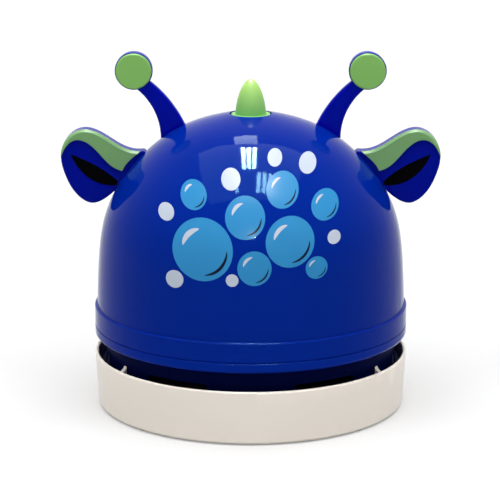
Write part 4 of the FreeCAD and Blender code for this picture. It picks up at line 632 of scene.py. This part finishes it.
def make_floor():
    half = FLOOR_HALF
    corners = [(-half, -half, 0), (half, -half, 0), (half, half, 0), (-half, half, 0)]
    floor = new_object("floor", corners, [(0, 1, 2, 3)], smooth=False)
    material, tree, shader = new_material("floor_white")
    shader.inputs["Base Color"].default_value = (*FLOOR_COLOUR, 1)
    shader.inputs["Roughness"].default_value = 1.0
    shader.inputs["Specular IOR Level"].default_value = 0.0
    shader.inputs["Emission Color"].default_value = (1, 1, 1, 1)
    distance = node(tree, "ShaderNodeVectorMath", operation="LENGTH")
    join(tree, object_place(tree), distance.inputs[0])
    reach = distance.outputs["Value"]
    lift = node(tree, "ShaderNodeMath", operation="ADD")
    join(tree, ranged(tree, reach, FLOOR_LIFT_NEAR, FLOOR_LIFT_FAR, FLOOR_NEAR, FLOOR_FAR), lift.inputs[0])
    join(tree, ranged(tree, reach, 0.0, FLOOR_LIFT_HORIZON, FLOOR_FAR, FLOOR_HORIZON), lift.inputs[1])
    strength = node(tree, "ShaderNodeMath", operation="MULTIPLY")
    join(tree, seen_share(tree), strength.inputs[0])
    join(tree, lift.outputs[0], strength.inputs[1])
    join(tree, strength.outputs[0], shader.inputs["Emission Strength"])
    floor.data.materials.append(material)


def make_world():
    world = bpy.data.worlds.new("studio")
    bpy.context.scene.world = world
    world.use_nodes = True
    tree = world.node_tree
    background = tree.nodes["Background"]
    background.inputs["Color"].default_value = (1, 1, 1, 1)
    join(tree, ranged(tree, seen_share(tree), WORLD_LIGHT, WORLD_SEEN), background.inputs["Strength"])


def area_light(name, place, aim, size, power):
    data = bpy.data.lights.new(name, "AREA")
    data.shape = "RECTANGLE"
    data.size, data.size_y = size
    data.energy = power
    lamp = bpy.data.objects.new(name, data)
    bpy.context.scene.collection.objects.link(lamp)
    lamp.location = place
    lamp.rotation_euler = (Vector(aim) - Vector(place)).to_track_quat("-Z", "Y").to_euler()
    return lamp


def ceiling_light(name, across, depth, size, power):
    """Light straight down from the ceiling, seen only as a gloss."""
    lamp = area_light(name, (across, depth, CEILING_HEIGHT), (across, depth, 0), size, power)
    lamp.visible_diffuse = False


def tube_row(name, places, depth, size, power):
    for number, across in enumerate(places):
        ceiling_light(name + str(number), across, depth, size, power)


def make_lights():
    area_light("overhead_softbox", OVERHEAD_PLACE, LIGHT_AIM, OVERHEAD_SIZE, OVERHEAD_POWER)
    across, depth, height = SIDE_PLACE
    for name, side in (("left_softbox", -1), ("right_softbox", 1)):
        softbox = area_light(name, (side * across, depth, height), LIGHT_AIM, SIDE_SIZE, SIDE_POWER)
        softbox.visible_glossy = False
    front_lamp = area_light("front_lamp", FRONT_LAMP_PLACE, LIGHT_AIM, FRONT_LAMP_SIZE, FRONT_LAMP_POWER)
    front_lamp.visible_diffuse = False
    ceiling_light("back_panel", *BACK_PANEL_SPOT, BACK_PANEL_SIZE, BACK_PANEL_POWER)
    tube_row("rear_tube_", REAR_TUBES, REAR_TUBE_DEPTH, REAR_TUBE_SIZE, REAR_TUBE_POWER)
    tube_row("front_tube_", FRONT_TUBES, FRONT_TUBE_DEPTH, FRONT_TUBE_SIZE, FRONT_TUBE_POWER)


def make_camera():
    data = bpy.data.cameras.new("camera")
    data.sensor_width = SENSOR_WIDTH_MM
    data.lens = FOCAL_PX * SENSOR_WIDTH_MM / PHOTO_WIDTH_PX
    camera = bpy.data.objects.new("camera", data)
    bpy.context.scene.collection.objects.link(camera)
    back = Vector((0, -math.cos(CAMERA_ELEVATION), math.sin(CAMERA_ELEVATION)))
    camera.location = CAMERA_AIM + back * CAMERA_DISTANCE
    camera.rotation_euler = (-back).to_track_quat("-Z", "Y").to_euler()
    bpy.context.scene.camera = camera
    bpy.context.scene.view_settings.view_transform = "Standard"


dress_nodes()
print_front()
print_ears()
make_floor()
make_world()
make_lights()
make_camera()
